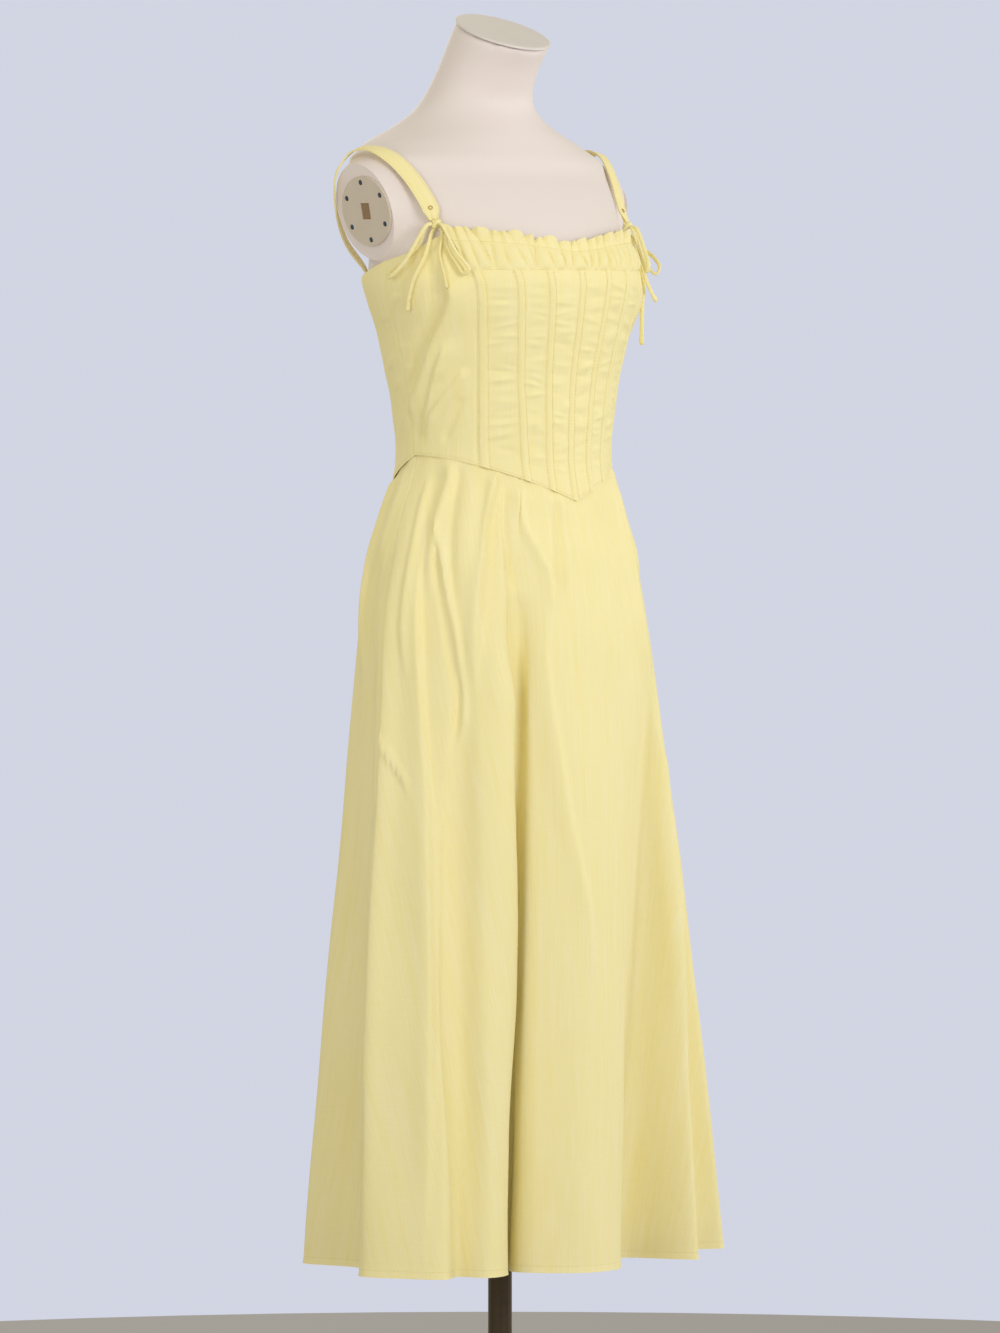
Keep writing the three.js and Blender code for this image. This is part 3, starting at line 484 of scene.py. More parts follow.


# Creases listed, each along (fold number, height) points. rise is its height in mm, before
# and after its half-widths to either side, so that an uneven pair reads as a lapped pleat's edge.
SKIRT_CREASES = (
    # the right hip: soft pleats, the lapped one, and the oval of the pocket's bag pressing through
    (3.4, 9, 4, (8.75, 1112, 8.38, 1096, 8.17, 1036, 8.1, 985, 8.1, 950)),
    (-2.6, 4, 7, (8.45, 1100, 8.6, 1040, 8.7, 990, 8.9, 930)),
    (5.2, 12, 3, (10.6, 1100, 10.46, 1083, 10.0, 975, 9.75, 904, 9.7, 850)),
    (-3.0, 3, 14, (10.9, 1090, 10.7, 1060, 10.3, 975, 10.1, 900)),
    (2.6, 2.2, 4.5, (8.1, 1040, 8.4, 1004, 8.95, 920, 9.25, 863, 9.2, 832, 8.8, 795, 8.3, 765)),
    (-1.6, 4, 3, (8.2, 1010, 8.7, 915, 9.0, 863, 8.95, 832, 8.6, 795, 8.2, 775)),
    (2.2, 2, 4, (6.1, 825, 6.25, 811, 7.1, 771, 7.3, 755)),
    (2.0, 4, 6, (7.0, 1080, 7.1, 1000, 7.0, 930, 7.2, 860)),
    # the side lobe: the deep valley behind its edge, the edge, and two long uprights right of it
    (-4.5, 9, 4, (6.0, 1000, 5.95, 954, 6.0, 850, 5.9, 750, 5.5, 650, 5.2, 540, 5.0, 400, 4.9, 264)),
    (4.5, 3.5, 15, (6.25, 1000, 6.25, 954, 6.35, 850, 6.3, 750, 6.15, 650, 6.08, 540, 6.0, 264)),
    (2.6, 15, 3.5, (7.6, 1010, 7.6, 986, 7.95, 751, 7.8, 548, 7.35, 264)),
    (-3.4, 3.5, 18, (7.8, 1010, 7.8, 986, 8.15, 751, 8.0, 548, 7.55, 264)),
    (-3.6, 5, 26, (9.3, 905, 9.0, 830, 8.6, 700, 8.45, 560, 8.5, 420, 8.6, 264)),
    # the deep fold: its lapped left edge, the hollow behind it, and the short pleats above
    (6.5, 26, 3, (11.7, 900, 11.45, 850, 11.25, 800, 11.2, 770, 11.3, 683, 11.4, 560, 11.3, 400)),
    (-6.5, 6, 16, (11.6, 1020, 11.75, 960, 11.8, 900, 11.75, 850, 11.6, 800, 11.6, 700, 11.7, 560)),
    (-2.6, 3, 6, (11.1, 1075, 11.2, 1055, 11.42, 1000, 11.6, 960)),
    (3.6, 7, 3, (13.0, 1072, 13.1, 1055, 14.2, 1008, 14.6, 985, 14.7, 940)),
    (3.6, 14, 5, (15.0, 1070, 14.96, 1052, 14.6, 950, 14.4, 904, 15.0, 740, 15.5, 640, 15.8, 500)),
    (2.8, 6, 3, (15.4, 1068, 15.46, 1049, 15.38, 993, 15.3, 960)),
    (2.2, 9, 5, (17.2, 1072, 17.5, 1010, 17.4, 940)),
    # the lapped edge at the left of the front
    (6.5, 16, 2.5, (19.6, 1092, 19.54, 1062, 19.0, 990, 18.67, 933, 19.4, 850, 19.9, 787,
                    20.1, 600, 20.2, 420)),
    (-4.5, 2.5, 12, (19.85, 1092, 19.8, 1062, 19.3, 990, 19.0, 933, 19.7, 850, 20.2, 787)),
    # the left side, the back and the right side: the same soft pleats, unevenly spaced
    (3.6, 9, 4, (21.3, 1112, 21.4, 1050, 21.5, 960)), (2.8, 5, 9, (22.9, 1116, 22.7, 1060, 22.6, 990)),
    (3.8, 10, 4, (25.3, 1106, 25.4, 1060, 25.2, 960, 25.1, 870)),
    (3.0, 4, 10, (26.8, 1094, 26.9, 1040, 27.2, 960)),
    (4.2, 10, 4, (28.2, 1080, 28.3, 1040, 28.2, 930, 28.5, 800)),
    (-2.6, 4, 9, (29.0, 1076, 29.2, 1020, 29.2, 950)),
    (3.4, 5, 9, (29.7, 1074, 29.6, 1040, 29.4, 990)),
    (4.0, 10, 4, (31.1, 1076, 31.2, 1040, 31.3, 940, 31.1, 840)),
    (2.8, 5, 10, (32.5, 1086, 32.5, 1040, 32.2, 980)),
    (3.8, 10, 4, (33.7, 1100, 33.8, 1050, 34.0, 960, 34.1, 860)),
    (2.4, 6, 8, (34.9, 1110, 35.0, 1060, 34.8, 990)),
)


def crease_line(places):
    """A crease's rising heights and its places there."""
    places = np.array(places, float).reshape(-1, 2)[::-1]
    return places[:, 1], places[:, 0]


def skirt_relief(s, points):
    """How far the creases raise the cloth, over a grid of fold numbers and its points."""
    z = points[..., 2]
    along = paced(points, 1)
    # millimetres a fold past either edge, so that a crease over the seam is one for both halves
    first_pace = (along[:, 1] - along[:, 0]) / (s[:, 1] - s[:, 0])
    last_pace = (along[:, -1] - along[:, -2]) / (s[:, -1] - s[:, -2])
    rise = np.zeros(z.shape)
    for height, before, after, places in SKIRT_CREASES:
        heights, folds = crease_line(places)
        span = heights[-1] - heights[0]
        share = (z - heights[0]) / span
        within = ease(share / 0.3) * (1 - ease((share - 0.9) / 0.14))
        for lap in (-FOLD_COUNT, 0, FOLD_COUNT):
            line = np.interp(z, heights, folds) + lap
            if line.max() < s[0, 0] - 1 or line.min() > s[0, -1] + 1:
                continue
            for j in np.flatnonzero(within.max(1) > 0.01):
                at = np.interp(line[j], s[j], along[j])
                at = at - np.maximum(s[j, 0] - line[j], 0) * first_pace[j]
                side = along[j] - at - np.maximum(line[j] - s[j, -1], 0) * last_pace[j]
                width = np.where(side < 0, before, after)
                rise[j] += CREASE_HEIGHT * height * within[j] * hump(side, width)
    return rise


def skirt_half(node, first, last):
    # columns an even way apart at the knee, where the folds are half open, and one more past
    # each seam, so that both halves look the same way there
    fine = np.linspace(first, last, 2000)
    run = paced(skirt_surface(fine[None], np.full((1, 2000), KNEE))[0])
    s = np.interp(np.linspace(0, run[-1], SKIRT_COLUMNS), run, fine)
    s = np.concatenate([[first - 0.04], s, [last + 0.04]])[None, :]
    down = np.concatenate([np.linspace(0, 0.12, 36), np.linspace(0.12, 1, 101)[1:]])[:, None]
    s, down = np.broadcast_arrays(s, down)
    middle = skirt_surface(s, down)
    normal = normals_of(middle)
    z = middle[..., 2]
    relief = skirt_relief(s, middle) * ease((bodice_hem(fold_turn(s, "waist")) - z + 1) / 14)
    # long shallow unevenness of hung cloth, and fine upright ripples that fade below the hip
    turn = s * 2 * np.pi / FOLD_COUNT
    relief = relief + 0.8 * np.sin(7 * turn + z / 97) * np.sin(z / 61 + 3 * turn)
    relief = relief + 0.35 * np.sin(23 * turn + 1.3 * np.sin(z / 70)) * ease((z - 700) / 250)
    relief = relief - 0.5 * hump(np.minimum(s - first, last - s), 0.03)
    # the hem's turn-up: a thicker edge with a shallow valley along its stitches
    hem_up = z - HEM_Z
    relief = relief + 0.5 * (1 - ease((hem_up - 5) / 4)) - 0.35 * hump(hem_up - HEM_TURN_UP, 2)
    outer = middle + normal * (WALL / 2 + relief)[..., None]
    normal = normals_of(outer)[:, 1:-1]
    outer = outer[:, 1:-1]
    shell(node, outer, cut=flat_places(middle[:, 1:-1]), normal=normal)
    return outer


skirt_front = skirt_half("skirt_front", RIGHT_SEAM, LEFT_SEAM)
skirt_back = skirt_half("skirt_back", LEFT_SEAM, RIGHT_SEAM + FOLD_COUNT)

# ------------------------------------------------------------------ side front and back panels
# Plain panels shaped over the bust and waist. The side fronts pull in long soft folds from the tie
# down to the waist. Their edges roll in a little where they are seamed to their neighbours.
CORSET_TOP_Z = 1296
SIDE_SEAM = math.radians(92)
FRILL_FLARE = 7
CORSET_HALF = 119
SIDES = ((-1, "right"), (1, "left"))
# millimetres round the bodice: a degree, and a radian of the side fronts and of the backs
DEGREE = 2.3
SIDE_RADIAN = 130
BACK_RADIAN = 118
# a fold deeper than the first of these sinks on by no more than the second, clear of the form
DEEPEST = 1.2
DEEPEST_MORE = 1.4
# the level folds at the small of the back: height, reach to the sides in degrees, and rise
SLACK = ((1128, 30, 1.6), (1152, 26, -1.3), (1176, 34, 1.3), (1108, 22, -1.0), (1216, 24, 0.8))
SLACK_TURN = 158
CORSET = columns_of("down inner middle outer seam", [
    (0, 41, 77, 114, 119.5), (0.5, 31, 62, 96, 101.5), (0.85, 27, 54, 89, 94.5),
    (1, 27, 53, 88, 93.5),
])
TOP_EDGE = columns_of("turn z", [
    (54, 1340), (66, 1328), (78, 1315), (92, 1306), (112, 1294), (140, 1288), (180, 1287),
])
# Soft folds from the tie down to the waist, each along (turn, height) points. rise is its height in
# mm, before and after its half-widths towards the front and towards the back.
BODICE_CREASES = {
    "right": (
        (6.6, 16, 5, (54.5, 1296, 60, 1258, 70.5, 1222, 78.3, 1191, 92, 1157, 104.7, 1131, 112, 1118)),
        (-4.4, 5, 12, (58, 1278, 64.5, 1250, 74.5, 1218, 83, 1184, 96, 1150, 108, 1122)),
        (4.8, 11, 4, (62, 1226, 67.7, 1199, 75.9, 1162, 83.2, 1128, 86, 1110)),
        (-3.6, 4, 8, (65, 1326, 65.1, 1300, 65.1, 1284, 67, 1252, 68, 1236)),
        (2.4, 6, 4, (61, 1322, 60.5, 1300, 59.5, 1280, 60, 1262)),
        (-2.4, 6, 9, (66, 1192, 69.1, 1181, 76, 1156, 82.4, 1131, 84.5, 1107)),
        (3.4, 8, 4, (55, 1196, 58.7, 1183, 66, 1167, 75.8, 1145, 80, 1128)),
        (-1.8, 5, 6, (57, 1168, 62, 1150, 68, 1128, 70, 1112)),
        (1.6, 5, 5, (72, 1320, 74, 1296, 80, 1272, 84, 1256)),
        (-1.6, 5, 6, (76, 1314, 79, 1292, 85, 1268, 92, 1246)),
        (1.7, 5, 5, (84, 1274, 90, 1260, 97, 1248, 103, 1240)),
        (1.7, 5, 5, (89, 1222, 96, 1209, 102, 1201, 110, 1190)),
        (1.5, 5, 4, (86, 1200, 92, 1188, 100, 1178, 104, 1170)),
    ),
    "left": (
        (5.6, 15, 5, (56, 1290, 61, 1252, 70, 1216, 80, 1186, 95, 1150, 106, 1126)),
        (-2.8, 5, 11, (60, 1272, 66, 1243, 75, 1208, 86, 1175, 99, 1142)),
        (3.0, 11, 5, (60, 1222, 68, 1190, 77, 1154, 84, 1120)),
        (-2.4, 4, 8, (66, 1326, 66, 1290, 69, 1250, 70, 1236)),
        (2.2, 8, 5, (54, 1180, 64, 1160, 74, 1138, 79, 1124)),
        (1.5, 5, 5, (74, 1316, 78, 1288, 84, 1262)),
        (1.5, 5, 5, (86, 1266, 93, 1252, 101, 1240)),
        (1.4, 5, 5, (90, 1214, 98, 1200, 106, 1192)),
    ),
}


def bodice_relief(word, turn, z):
    """How far the panels' folds raise the cloth at turns from the centre front and heights."""
    degrees = np.degrees(np.abs(turn))
    rise = np.zeros(degrees.shape)
    for height, before, after, places in BODICE_CREASES[word]:
        heights, turns = crease_line(places)
        line = curve(heights, turns, z)
        lean = (curve(heights, turns, z + 2) - curve(heights, turns, z - 2)) / 4 * DEGREE
        side = (degrees - line) * DEGREE / np.hypot(1, lean)
        share = (z - heights[0]) / (heights[-1] - heights[0])
        within = ease(share / 0.25) * (1 - ease((share - 0.82) / 0.2))
        width = np.where(side < 0, before, after)
        rise += height * within * hump(side, width)
    sunk = -DEEPEST - DEEPEST_MORE * np.tanh((-DEEPEST - rise) / DEEPEST_MORE)
    return np.where(rise < -DEEPEST, sunk, rise)


def turn_at(x, z):
    section = section_at(DRESS, z)
    share = np.clip(np.abs(x) / section["half"], 0, 1)
    return np.sign(x) * np.arcsin(share ** (section["square"] / 2))


def point_edge(x):
    """The height of the corset panel's pointed lower edge, by the distance from its centre."""
    return POINT_Z + (SIDE_PEAK_Z - POINT_Z) * np.minimum(np.abs(x) / CORSET_HALF, 1)


def corset_x(column, down):
    """How far a line of the corset panel stands from its centre, by a share of the way down."""
    return curve(CORSET["down"], CORSET[column], down)


def seam_x(z):
    """How far the corset panel's side seam stands from the centre front at a height."""
    x = CORSET["seam"][0] + 0 * z
    for _ in range(4):
        x = corset_x("seam", np.clip((CORSET_TOP_Z - z) / (CORSET_TOP_Z - point_edge(x)), 0, 1))
    return x + FRILL_FLARE * np.clip((z - CORSET_TOP_Z) / 42, 0, 1)


def rolled(distance, depth, width=2.2):
    """How far an edge rolls in, by the distance from it."""
    return -depth * hump(distance, width)


def panel_grid(side, cols, rows):
    """Shares of the way round from the front edge and of the way down a panel."""
    share, down = np.meshgrid(np.linspace(0, 1, cols), np.linspace(0, 1, rows))
    return (1 - share if side < 0 else share), down


def top_edge(turn):
    return curve(TOP_EDGE["turn"], TOP_EDGE["z"], np.degrees(turn))


def panel_relief(word, turn, z, loose, front_edge, back_edge):
    """A panel's folds where it is loose, and its edges, rolled in."""
    hem = bodice_hem(turn)
    relief = loose * ease((z - hem - 4) / 22) * bodice_relief(word, turn, z)
    return (relief + front_edge + back_edge
            + rolled(top_edge(turn) - z, 0.6, 1.2) + rolled(z - hem, 0.5, 1.2))


def side_front(side, word):
    share, down = panel_grid(side, 96, 130)
    z = CORSET_TOP_Z + 0 * down
    for _ in range(6):
        start = turn_at(seam_x(z), z)
        turn = start + (SIDE_SEAM - start) * share
        z = top_edge(turn) + (bodice_hem(turn) - top_edge(turn)) * down
    width = SIDE_RADIAN * (SIDE_SEAM - start)
    relief = panel_relief(word, turn, z, ease(share / 0.12) * (0.45 + 0.55 * ease((1 - share) / 0.1)),
                          rolled(share * width, 0.3, 1.4), rolled((1 - share) * width, 0.5, 1.4))
    outer = on_dress(side * turn, z, relief)
    shell(f"side_front_{word}", outer)
    return outer


def back_panel(side, word):
    share, down = panel_grid(side, 90, 110)
    turn = SIDE_SEAM + (math.pi - SIDE_SEAM) * share
    z = top_edge(turn) + (bodice_hem(turn) - top_edge(turn)) * down
    width = BACK_RADIAN * (math.pi - SIDE_SEAM)
    relief = panel_relief(word, turn, z, (0.45 + 0.55 * ease(share / 0.1)) * ease((1 - share) / 0.12),
                          rolled(share * width, 0.5, 1.4), rolled((1 - share) * width, 0.7))
    # slack at the small of the back lies in a few soft level folds, fading to the sides
    degrees = np.degrees(turn)
    for height, reach, rise in SLACK:
        bow = 0.25 * (180 - degrees)
        relief = relief + rise * hump(degrees - SLACK_TURN, reach) * hump(z - height - bow, 8)
    outer = on_dress(side * turn, z, relief)
    shell(f"back_{word}", outer)
    return outer


side_fronts = [side_front(*side) for side in SIDES]
backs = [back_panel(*side) for side in SIDES]

# ------------------------------------------------------------------ corset panel and channels
# The front panel comes to a point at the waist. Seven bones run down it in narrow channels, each
# sewn along both sides, and the cloth between them puckers in short level creases.
CHANNEL_WIDTH = 7.0
CHANNEL_RISE = 1.3
STITCHED_DIP = 0.25
PANEL_ROWS = 170
PANEL_HEIGHT = 200
SEAM = 0.3
CHANNELS = (("outer", -1), ("middle", -1), ("inner", -1), ("centre", 0), ("inner", 1),
            ("middle", 1), ("outer", 1))


def channel_x(column, side, down):
    return side * corset_x(column, down) if side else 0 * down


def corset_z(x, down):
    return CORSET_TOP_Z + (point_edge(x) - CORSET_TOP_Z) * down


def corset_puckers(x, z, down):
    """Short uneven creases between the channels, strongest beside their stitches."""
    rng = np.random.RandomState(17)
    rise = np.zeros(x.shape)
    lines = [channel_x(column, side, down) for column, side in CHANNELS]
    edge = corset_x("seam", down)
    lines = [-edge] + lines + [edge]
    for gap in range(len(lines) - 1):
        low, high = lines[gap], lines[gap + 1]
        across = (x - low) / (high - low)
        inside = (across > 0) & (across < 1)
        pinned = np.sin(np.pi * np.clip(across, 0, 1)) ** 0.7
        z_next = 1280 - 6 * rng.rand()
        while z_next > 1085:
            tilt = rng.uniform(-9, 9)
            height = rng.uniform(0.6, 1.7) * (1 if rng.rand() > 0.4 else -0.7)
            height *= 0.25 if gap in (0, len(lines) - 2) else 1
            centre = rng.uniform(0.1, 0.9)
            reach = rng.uniform(0.25, 0.6)
            width = rng.uniform(2.0, 4.4)
            crease = hump(z - z_next - tilt * (across - 0.5), width)
            rise += inside * pinned * hump(across - centre, reach) * height * crease
            z_next -= rng.uniform(5, 12)
    return rise


def front_panel():
    share, down = np.meshgrid(np.linspace(-1, 1, 241), np.linspace(0, 1, PANEL_ROWS))
    x = share * corset_x("seam", down)
    z = corset_z(x, down)
    relief = corset_puckers(x, z, down) + rolled(corset_x("seam", down) - np.abs(x), 0.3, 1.4)
    relief = relief + rolled(down * PANEL_HEIGHT, 0.3)
    relief = relief + rolled((1 - down) * PANEL_HEIGHT, 0.5, 1.2)
    for column, side in CHANNELS:
        beside = np.abs(x - channel_x(column, side, down)) - CHANNEL_WIDTH / 2
        relief = relief - STITCHED_DIP * hump(beside, 1.0)
    outer = on_dress(turn_at(x, z), z, relief)
    shell("front_panel", outer)
    return outer


def boning_channel(column, side):
    across, down = np.meshgrid(np.linspace(-0.5, 0.5, 13), np.linspace(0, 1, PANEL_ROWS))
    x = channel_x(column, side, down) + across * CHANNEL_WIDTH
    z = corset_z(x, down)
    panel = corset_puckers(x, z, down) * (0.45 + 1.0 * np.abs(across))
    rng = np.random.RandomState(5 + CHANNELS.index((column, side)))
    swell = sum(rng.uniform(-0.12, 0.12) * np.sin(down * f + rng.uniform(0, 6))
                for f in (9, 21, 43, 70))
    profile = np.clip(1 - (2 * np.abs(across)) ** 2.6, 0, 1) ** 0.6
    relief = panel - STITCHED_DIP + (SEAM + CHANNEL_RISE + swell) * profile
    outer = on_dress(turn_at(x, z), z, relief)
    word = {-1: "_right", 0: "", 1: "_left"}[side]
    shell(f"boning_channel_{column}{word}", outer)


corset = front_panel()
for column, side in CHANNELS:
    boning_channel(column, side)

# ------------------------------------------------------------------ frill
# A strip gathered on a drawstring in a casing along the neckline. Below the casing it swells in
# soft bellies down to the panel's seam, and above it stands up as a short crimped edge.
FRILL_LOW = 1326
FRILL_RISE = 17
CASING = 0.62
# where each tuck of the gathers stands along the strip (-1 to 1), how hard it is drawn, and how
# far it leans along the strip above the casing
TUCKS = columns_of("at pull lean", [
    (-1.05, 0.6, 0), (-0.976, 1, 0.02), (-0.91, 0.5, 0.01), (-0.84, 1.3, -0.01), (-0.76, 0.9, 0.03),
    (-0.677, 0.8, 0.01), (-0.575, 0.6, -0.02), (-0.467, 0.9, 0.0), (-0.413, 1.4, 0.03),
    (-0.30, 0.6, -0.01), (-0.165, 1.2, 0.0), (-0.06, 0.9, 0.02), (0.04, 0.6, -0.02),
    (0.147, 1.0, 0.01), (0.25, 0.6, 0.02), (0.358, 1.2, 0.0), (0.44, 0.7, -0.02),
    (0.55, 1.0, 0.01), (0.63, 0.7, -0.01), (0.735, 1.2, 0.02), (0.81, 0.8, 0.0),
    (0.90, 0.6, -0.01), (0.965, 1.1, 0.01), (1.05, 0.6, 0),
])


def frill():
    rng = np.random.RandomState(8)
    share, up = np.meshgrid(np.linspace(-1, 1, 760), np.linspace(1, 0, 52))
    top = FRILL_LOW + FRILL_RISE * np.sin(np.pi / 2 * np.abs(share)) ** 1.3
    x = share * (CORSET_HALF + FRILL_FLARE * up)
    z = CORSET_TOP_Z + (top - CORSET_TOP_Z) * up
    upper = np.clip((up - CASING) / (1 - CASING), 0, 1)
    lower = np.sin(np.pi * np.clip(up / CASING, 0, 1)) ** 0.85
    held = hump(up - CASING - 0.03 * np.sin(9 * share + 1), 0.1)
    relief = 0.8 + 1.6 * up - 1.0 * held - 0.6 * hump(up, 0.05)
    # the strip's edge dips unevenly between the two corners
    rise = 2.2 * upper * np.sin(4.1 * share + 0.9) - 1.6 * upper
    for number in range(len(TUCKS["at"]) - 1):
        left, right = (TUCKS["at"][n] + TUCKS["lean"][n] * (up - CASING) * 3
                       for n in (number, number + 1))
        across = (share - left) / (right - left)
        inside = (across >= 0) & (across < 1)
        wide = (right - left) * CORSET_HALF
        belly = np.minimum(5.6, 0.42 * wide) * rng.uniform(0.7, 1.2)
        round_over = np.sin(np.pi * np.clip(across, 0, 1)) ** 0.75
        turn_out = rng.uniform(-0.5, 0.9)
        ruffle = np.sin(2 * np.pi * across + rng.uniform(-0.6, 0.6))
        relief = relief + inside * belly * round_over * (
            0.72 * lower + 0.25 * held + (0.7 + 0.45 * turn_out) * upper)
        relief = relief + inside * 1.9 * ruffle * round_over * upper ** 1.2
        rise = rise + inside * round_over * upper * belly * rng.uniform(-0.35, 0.95)
    for at, pull, lean in zip(*TUCKS.values()):
        away = (share - at - lean * (up - CASING) * 3) * CORSET_HALF
        groove = np.exp(-np.abs(away / (1.0 + 0.7 * pull)) ** 1.5)
        relief = relief - groove * pull * (1.5 * lower + 1.0 * held + 2.4 * upper)
        rise = rise - 2.6 * pull ** 1.5 * groove * upper
    z = z + rise
    outer = on_dress(turn_at(x, z), z, relief)
    shell("neck_frill", outer)
    return outer


neck_frill = frill()

# ------------------------------------------------------------------ straps
# Flat bands folded from the cloth, about 2 cm wide, with a stitched edge on each side. Each runs
# from the tie at the bodice's corner over the shoulder and in behind the back panel's top.
STRAP_WIDTH = 17.5
STRAP_THICK = 2.0
STRAP_STEPS = 16
STRAP_COLUMNS = 31
# outX is how far the band faces outwards; on the wearer's left it turns forward more (leftX)
STRAP_LINE = columns_of("x y z outX outY outZ leftX", [
    (134.6, -47.9, 1347.2, 0.5, -0.8, 0.35, 0.42), (134.4, -41, 1361, 0.5, -0.78, 0.38, 0.36),
    (142, -21, 1391, 0.5, -0.62, 0.6, 0.4), (150.5, 1, 1411.8, 0.45, -0.35, 0.82, 0.4),
    (158, 25, 1421.5, 0.25, 0, 0.97, 0.25), (163, 48, 1417.5, 0.4, 0.4, 0.8, 0.4),
    (170, 64, 1395, 0.75, 0.55, 0.35, 0.75), (160, 76, 1360, 0.75, 0.65, 0, 0.75),
    (141, 81, 1325, 0.7, 0.72, 0, 0.7),
])
STRAP_END = ((129, 1294, -4.5), (129, 1281, -4.7))


def spline(points, steps):
    """A smooth curve through points, steps samples for each span (centripetal)."""
    points = np.asarray(points, float)
    points = np.concatenate([[2 * points[0] - points[1]], points, [2 * points[-1] - points[-2]]])
    found = []
    for i in range(1, len(points) - 2):
        p0, p1, p2, p3 = points[i - 1:i + 3]
        d0, d1, d2 = (np.linalg.norm(b - a) ** 0.5 for a, b in ((p0, p1), (p1, p2), (p2, p3)))
        m1 = ((p1 - p0) / d0 - (p2 - p0) / (d0 + d1) + (p2 - p1) / d1) * d1
        m2 = ((p2 - p1) / d1 - (p3 - p1) / (d1 + d2) + (p3 - p2) / d2) * d1
        k = np.linspace(0, 1, steps, endpoint=False)[:, None]
        found.append(p1 + m1 * k + (3 * (p2 - p1) - 2 * m1 - m2) * k ** 2
                     + (2 * (p1 - p2) + m1 + m2) * k ** 3)
    return np.concatenate(found + [points[-2][None]])


def strap(side, word):
    ends = []
    for turn, z, out in STRAP_END:
        near, far = (on_dress(np.radians(turn), z, o) for o in (out, out + 1))
        ends.append(np.concatenate([near, far - near]))
    facing_out = "leftX" if side > 0 else "outX"
    middle = np.stack([STRAP_LINE[name] for name in ("x", "y", "z", facing_out, "outY", "outZ")], -1)
    rows = np.concatenate([middle, ends])
    flip = np.array([side, 1, 1])
    line = spline(rows[:, :3] * flip, STRAP_STEPS)
    facing = spline(rows[:, 3:] * flip, STRAP_STEPS)
    along = unit(np.gradient(line, axis=0))
    out = unit(facing - along * (facing * along).sum(1)[:, None])
    across = np.cross(along, out)
    share = np.linspace(-1, 1, STRAP_COLUMNS)
    # the front end is drawn together where the tie holds it
    drawn = 1 - 0.4 * (1 - ease(np.arange(len(line)) / STRAP_STEPS / 0.8))
    # the band's edges are folded and stitched, so its middle stands up a little
    crown = 0.35 * (1 - share ** 4) + 0.25 * hump(np.abs(share) - 0.93, 0.06)
    crown = crown - 0.25 * hump(np.abs(share) - 0.82, 0.03)
    gather = (1 - drawn[:, None]) * 2.6 * np.cos(share[None, :] * 7)
    grid = (line[:, None] + across[:, None] * (drawn[:, None] * share)[..., None] * STRAP_WIDTH / 2
            + out[:, None] * (STRAP_THICK / 2 - 0.35 + crown + gather)[..., None])
    if np.dot(np.cross(grid[1, 0] - grid[0, 0], grid[0, 1] - grid[0, 0]), out[0]) < 0:
        grid = grid[:, ::-1]
    shell(f"strap_{word}", grid, STRAP_THICK - 0.3)
    return grid


straps = {word: strap(side, word) for side, word in SIDES}

# ------------------------------------------------------------------ ties
# Narrow rouleau cord, turned from a bias strip, drawn through the corner and tied in a small bow on
# each side. The far bow's loop and tails stand away from the bust; the near one's lie on the cloth.
TIE_DIAMETER = 4.4
KNOT_RADIUS = 5.0
KNOT = (64, 1343, 5.6)
TUBE_SIDES = 14
TIE_ROUTES = {
    "right": {
        "loop_a": [(73, 1321, 4), (82, 1303, 4), (88, 1292, 5), (86, 1288, 9), (78, 1304, 10)],
        "loop_b": [(58, 1318, 6), (54, 1301, 5), (51, 1291, 7), (49, 1296, 10), (54, 1314, 11)],
        "tail_a": [(69, 1310, 5), (74, 1287, 5), (78, 1266, 5), (80, 1253, 5)],
        "tail_b": [(62, 1312, 6), (60, 1292, 6), (59, 1276, 6)],
    },
    "left": {
        "loop_a": [(70, 1324, 15), (63, 1310, 23), (60, 1300, 24), (59, 1293, 18),
                   (62, 1304, 12)],
        "loop_b": [(57, 1318, 7.5), (52, 1303, 7), (49, 1295, 8), (48, 1301, 12),
                   (53, 1317, 13)],
        "tail_a": [(66, 1306, 5), (62, 1284, 5), (59, 1262, 6), (57, 1240, 12), (57, 1219, 17)],
        "tail_b": [(60, 1306, 6), (57, 1288, 6), (56, 1276, 11), (57, 1264, 20)],
    },
}
LEAVES = {
    "loop_a": ((1, -0.3, 0), (0.75, -0.1, 0.75)),
    "loop_b": ((-0.9, -0.25, 0.35), (-0.75, -0.1, 0.75)),
    "tail_a": ((0.5, -0.9, 0),),
    "tail_b": ((-0.55, -0.85, 0),),
}


def tie_place(side, turn, z, out):
    """A point off the dress's section, by the turn from the centre front towards a side."""
    return on_dress(side * math.radians(turn), z, out)


def tie_line(side, piece, places):
    knot = tie_place(side, *KNOT)
    out = tie_place(side, KNOT[0], KNOT[1], KNOT[2] + 1) - knot
    up = np.array([0, 0, 1.0])
    round_body = np.cross(up, out) * side

    def leaving(way, reach):
        return knot + unit(round_body * way[0] + up * way[1] + out * way[2]) * reach

    near = KNOT_RADIUS + SEAM + 0.1
    ways = LEAVES[piece]
    points = [leaving(ways[0], near), leaving(ways[0], near + 5)]
    points += [tie_place(side, *p) for p in places]
    if len(ways) > 1:
        points += [leaving(ways[1], near + 5), leaving(ways[1], near)]
    return spline(points, 10)


def ring_faces(rings, sides):
    """The faces between closed rings of points that follow one another."""
    return [(j * sides + i, j * sides + k, (j + 1) * sides + k, (j + 1) * sides + i)
            for j in range(rings - 1) for i, k in ((i, (i + 1) % sides) for i in range(sides))]


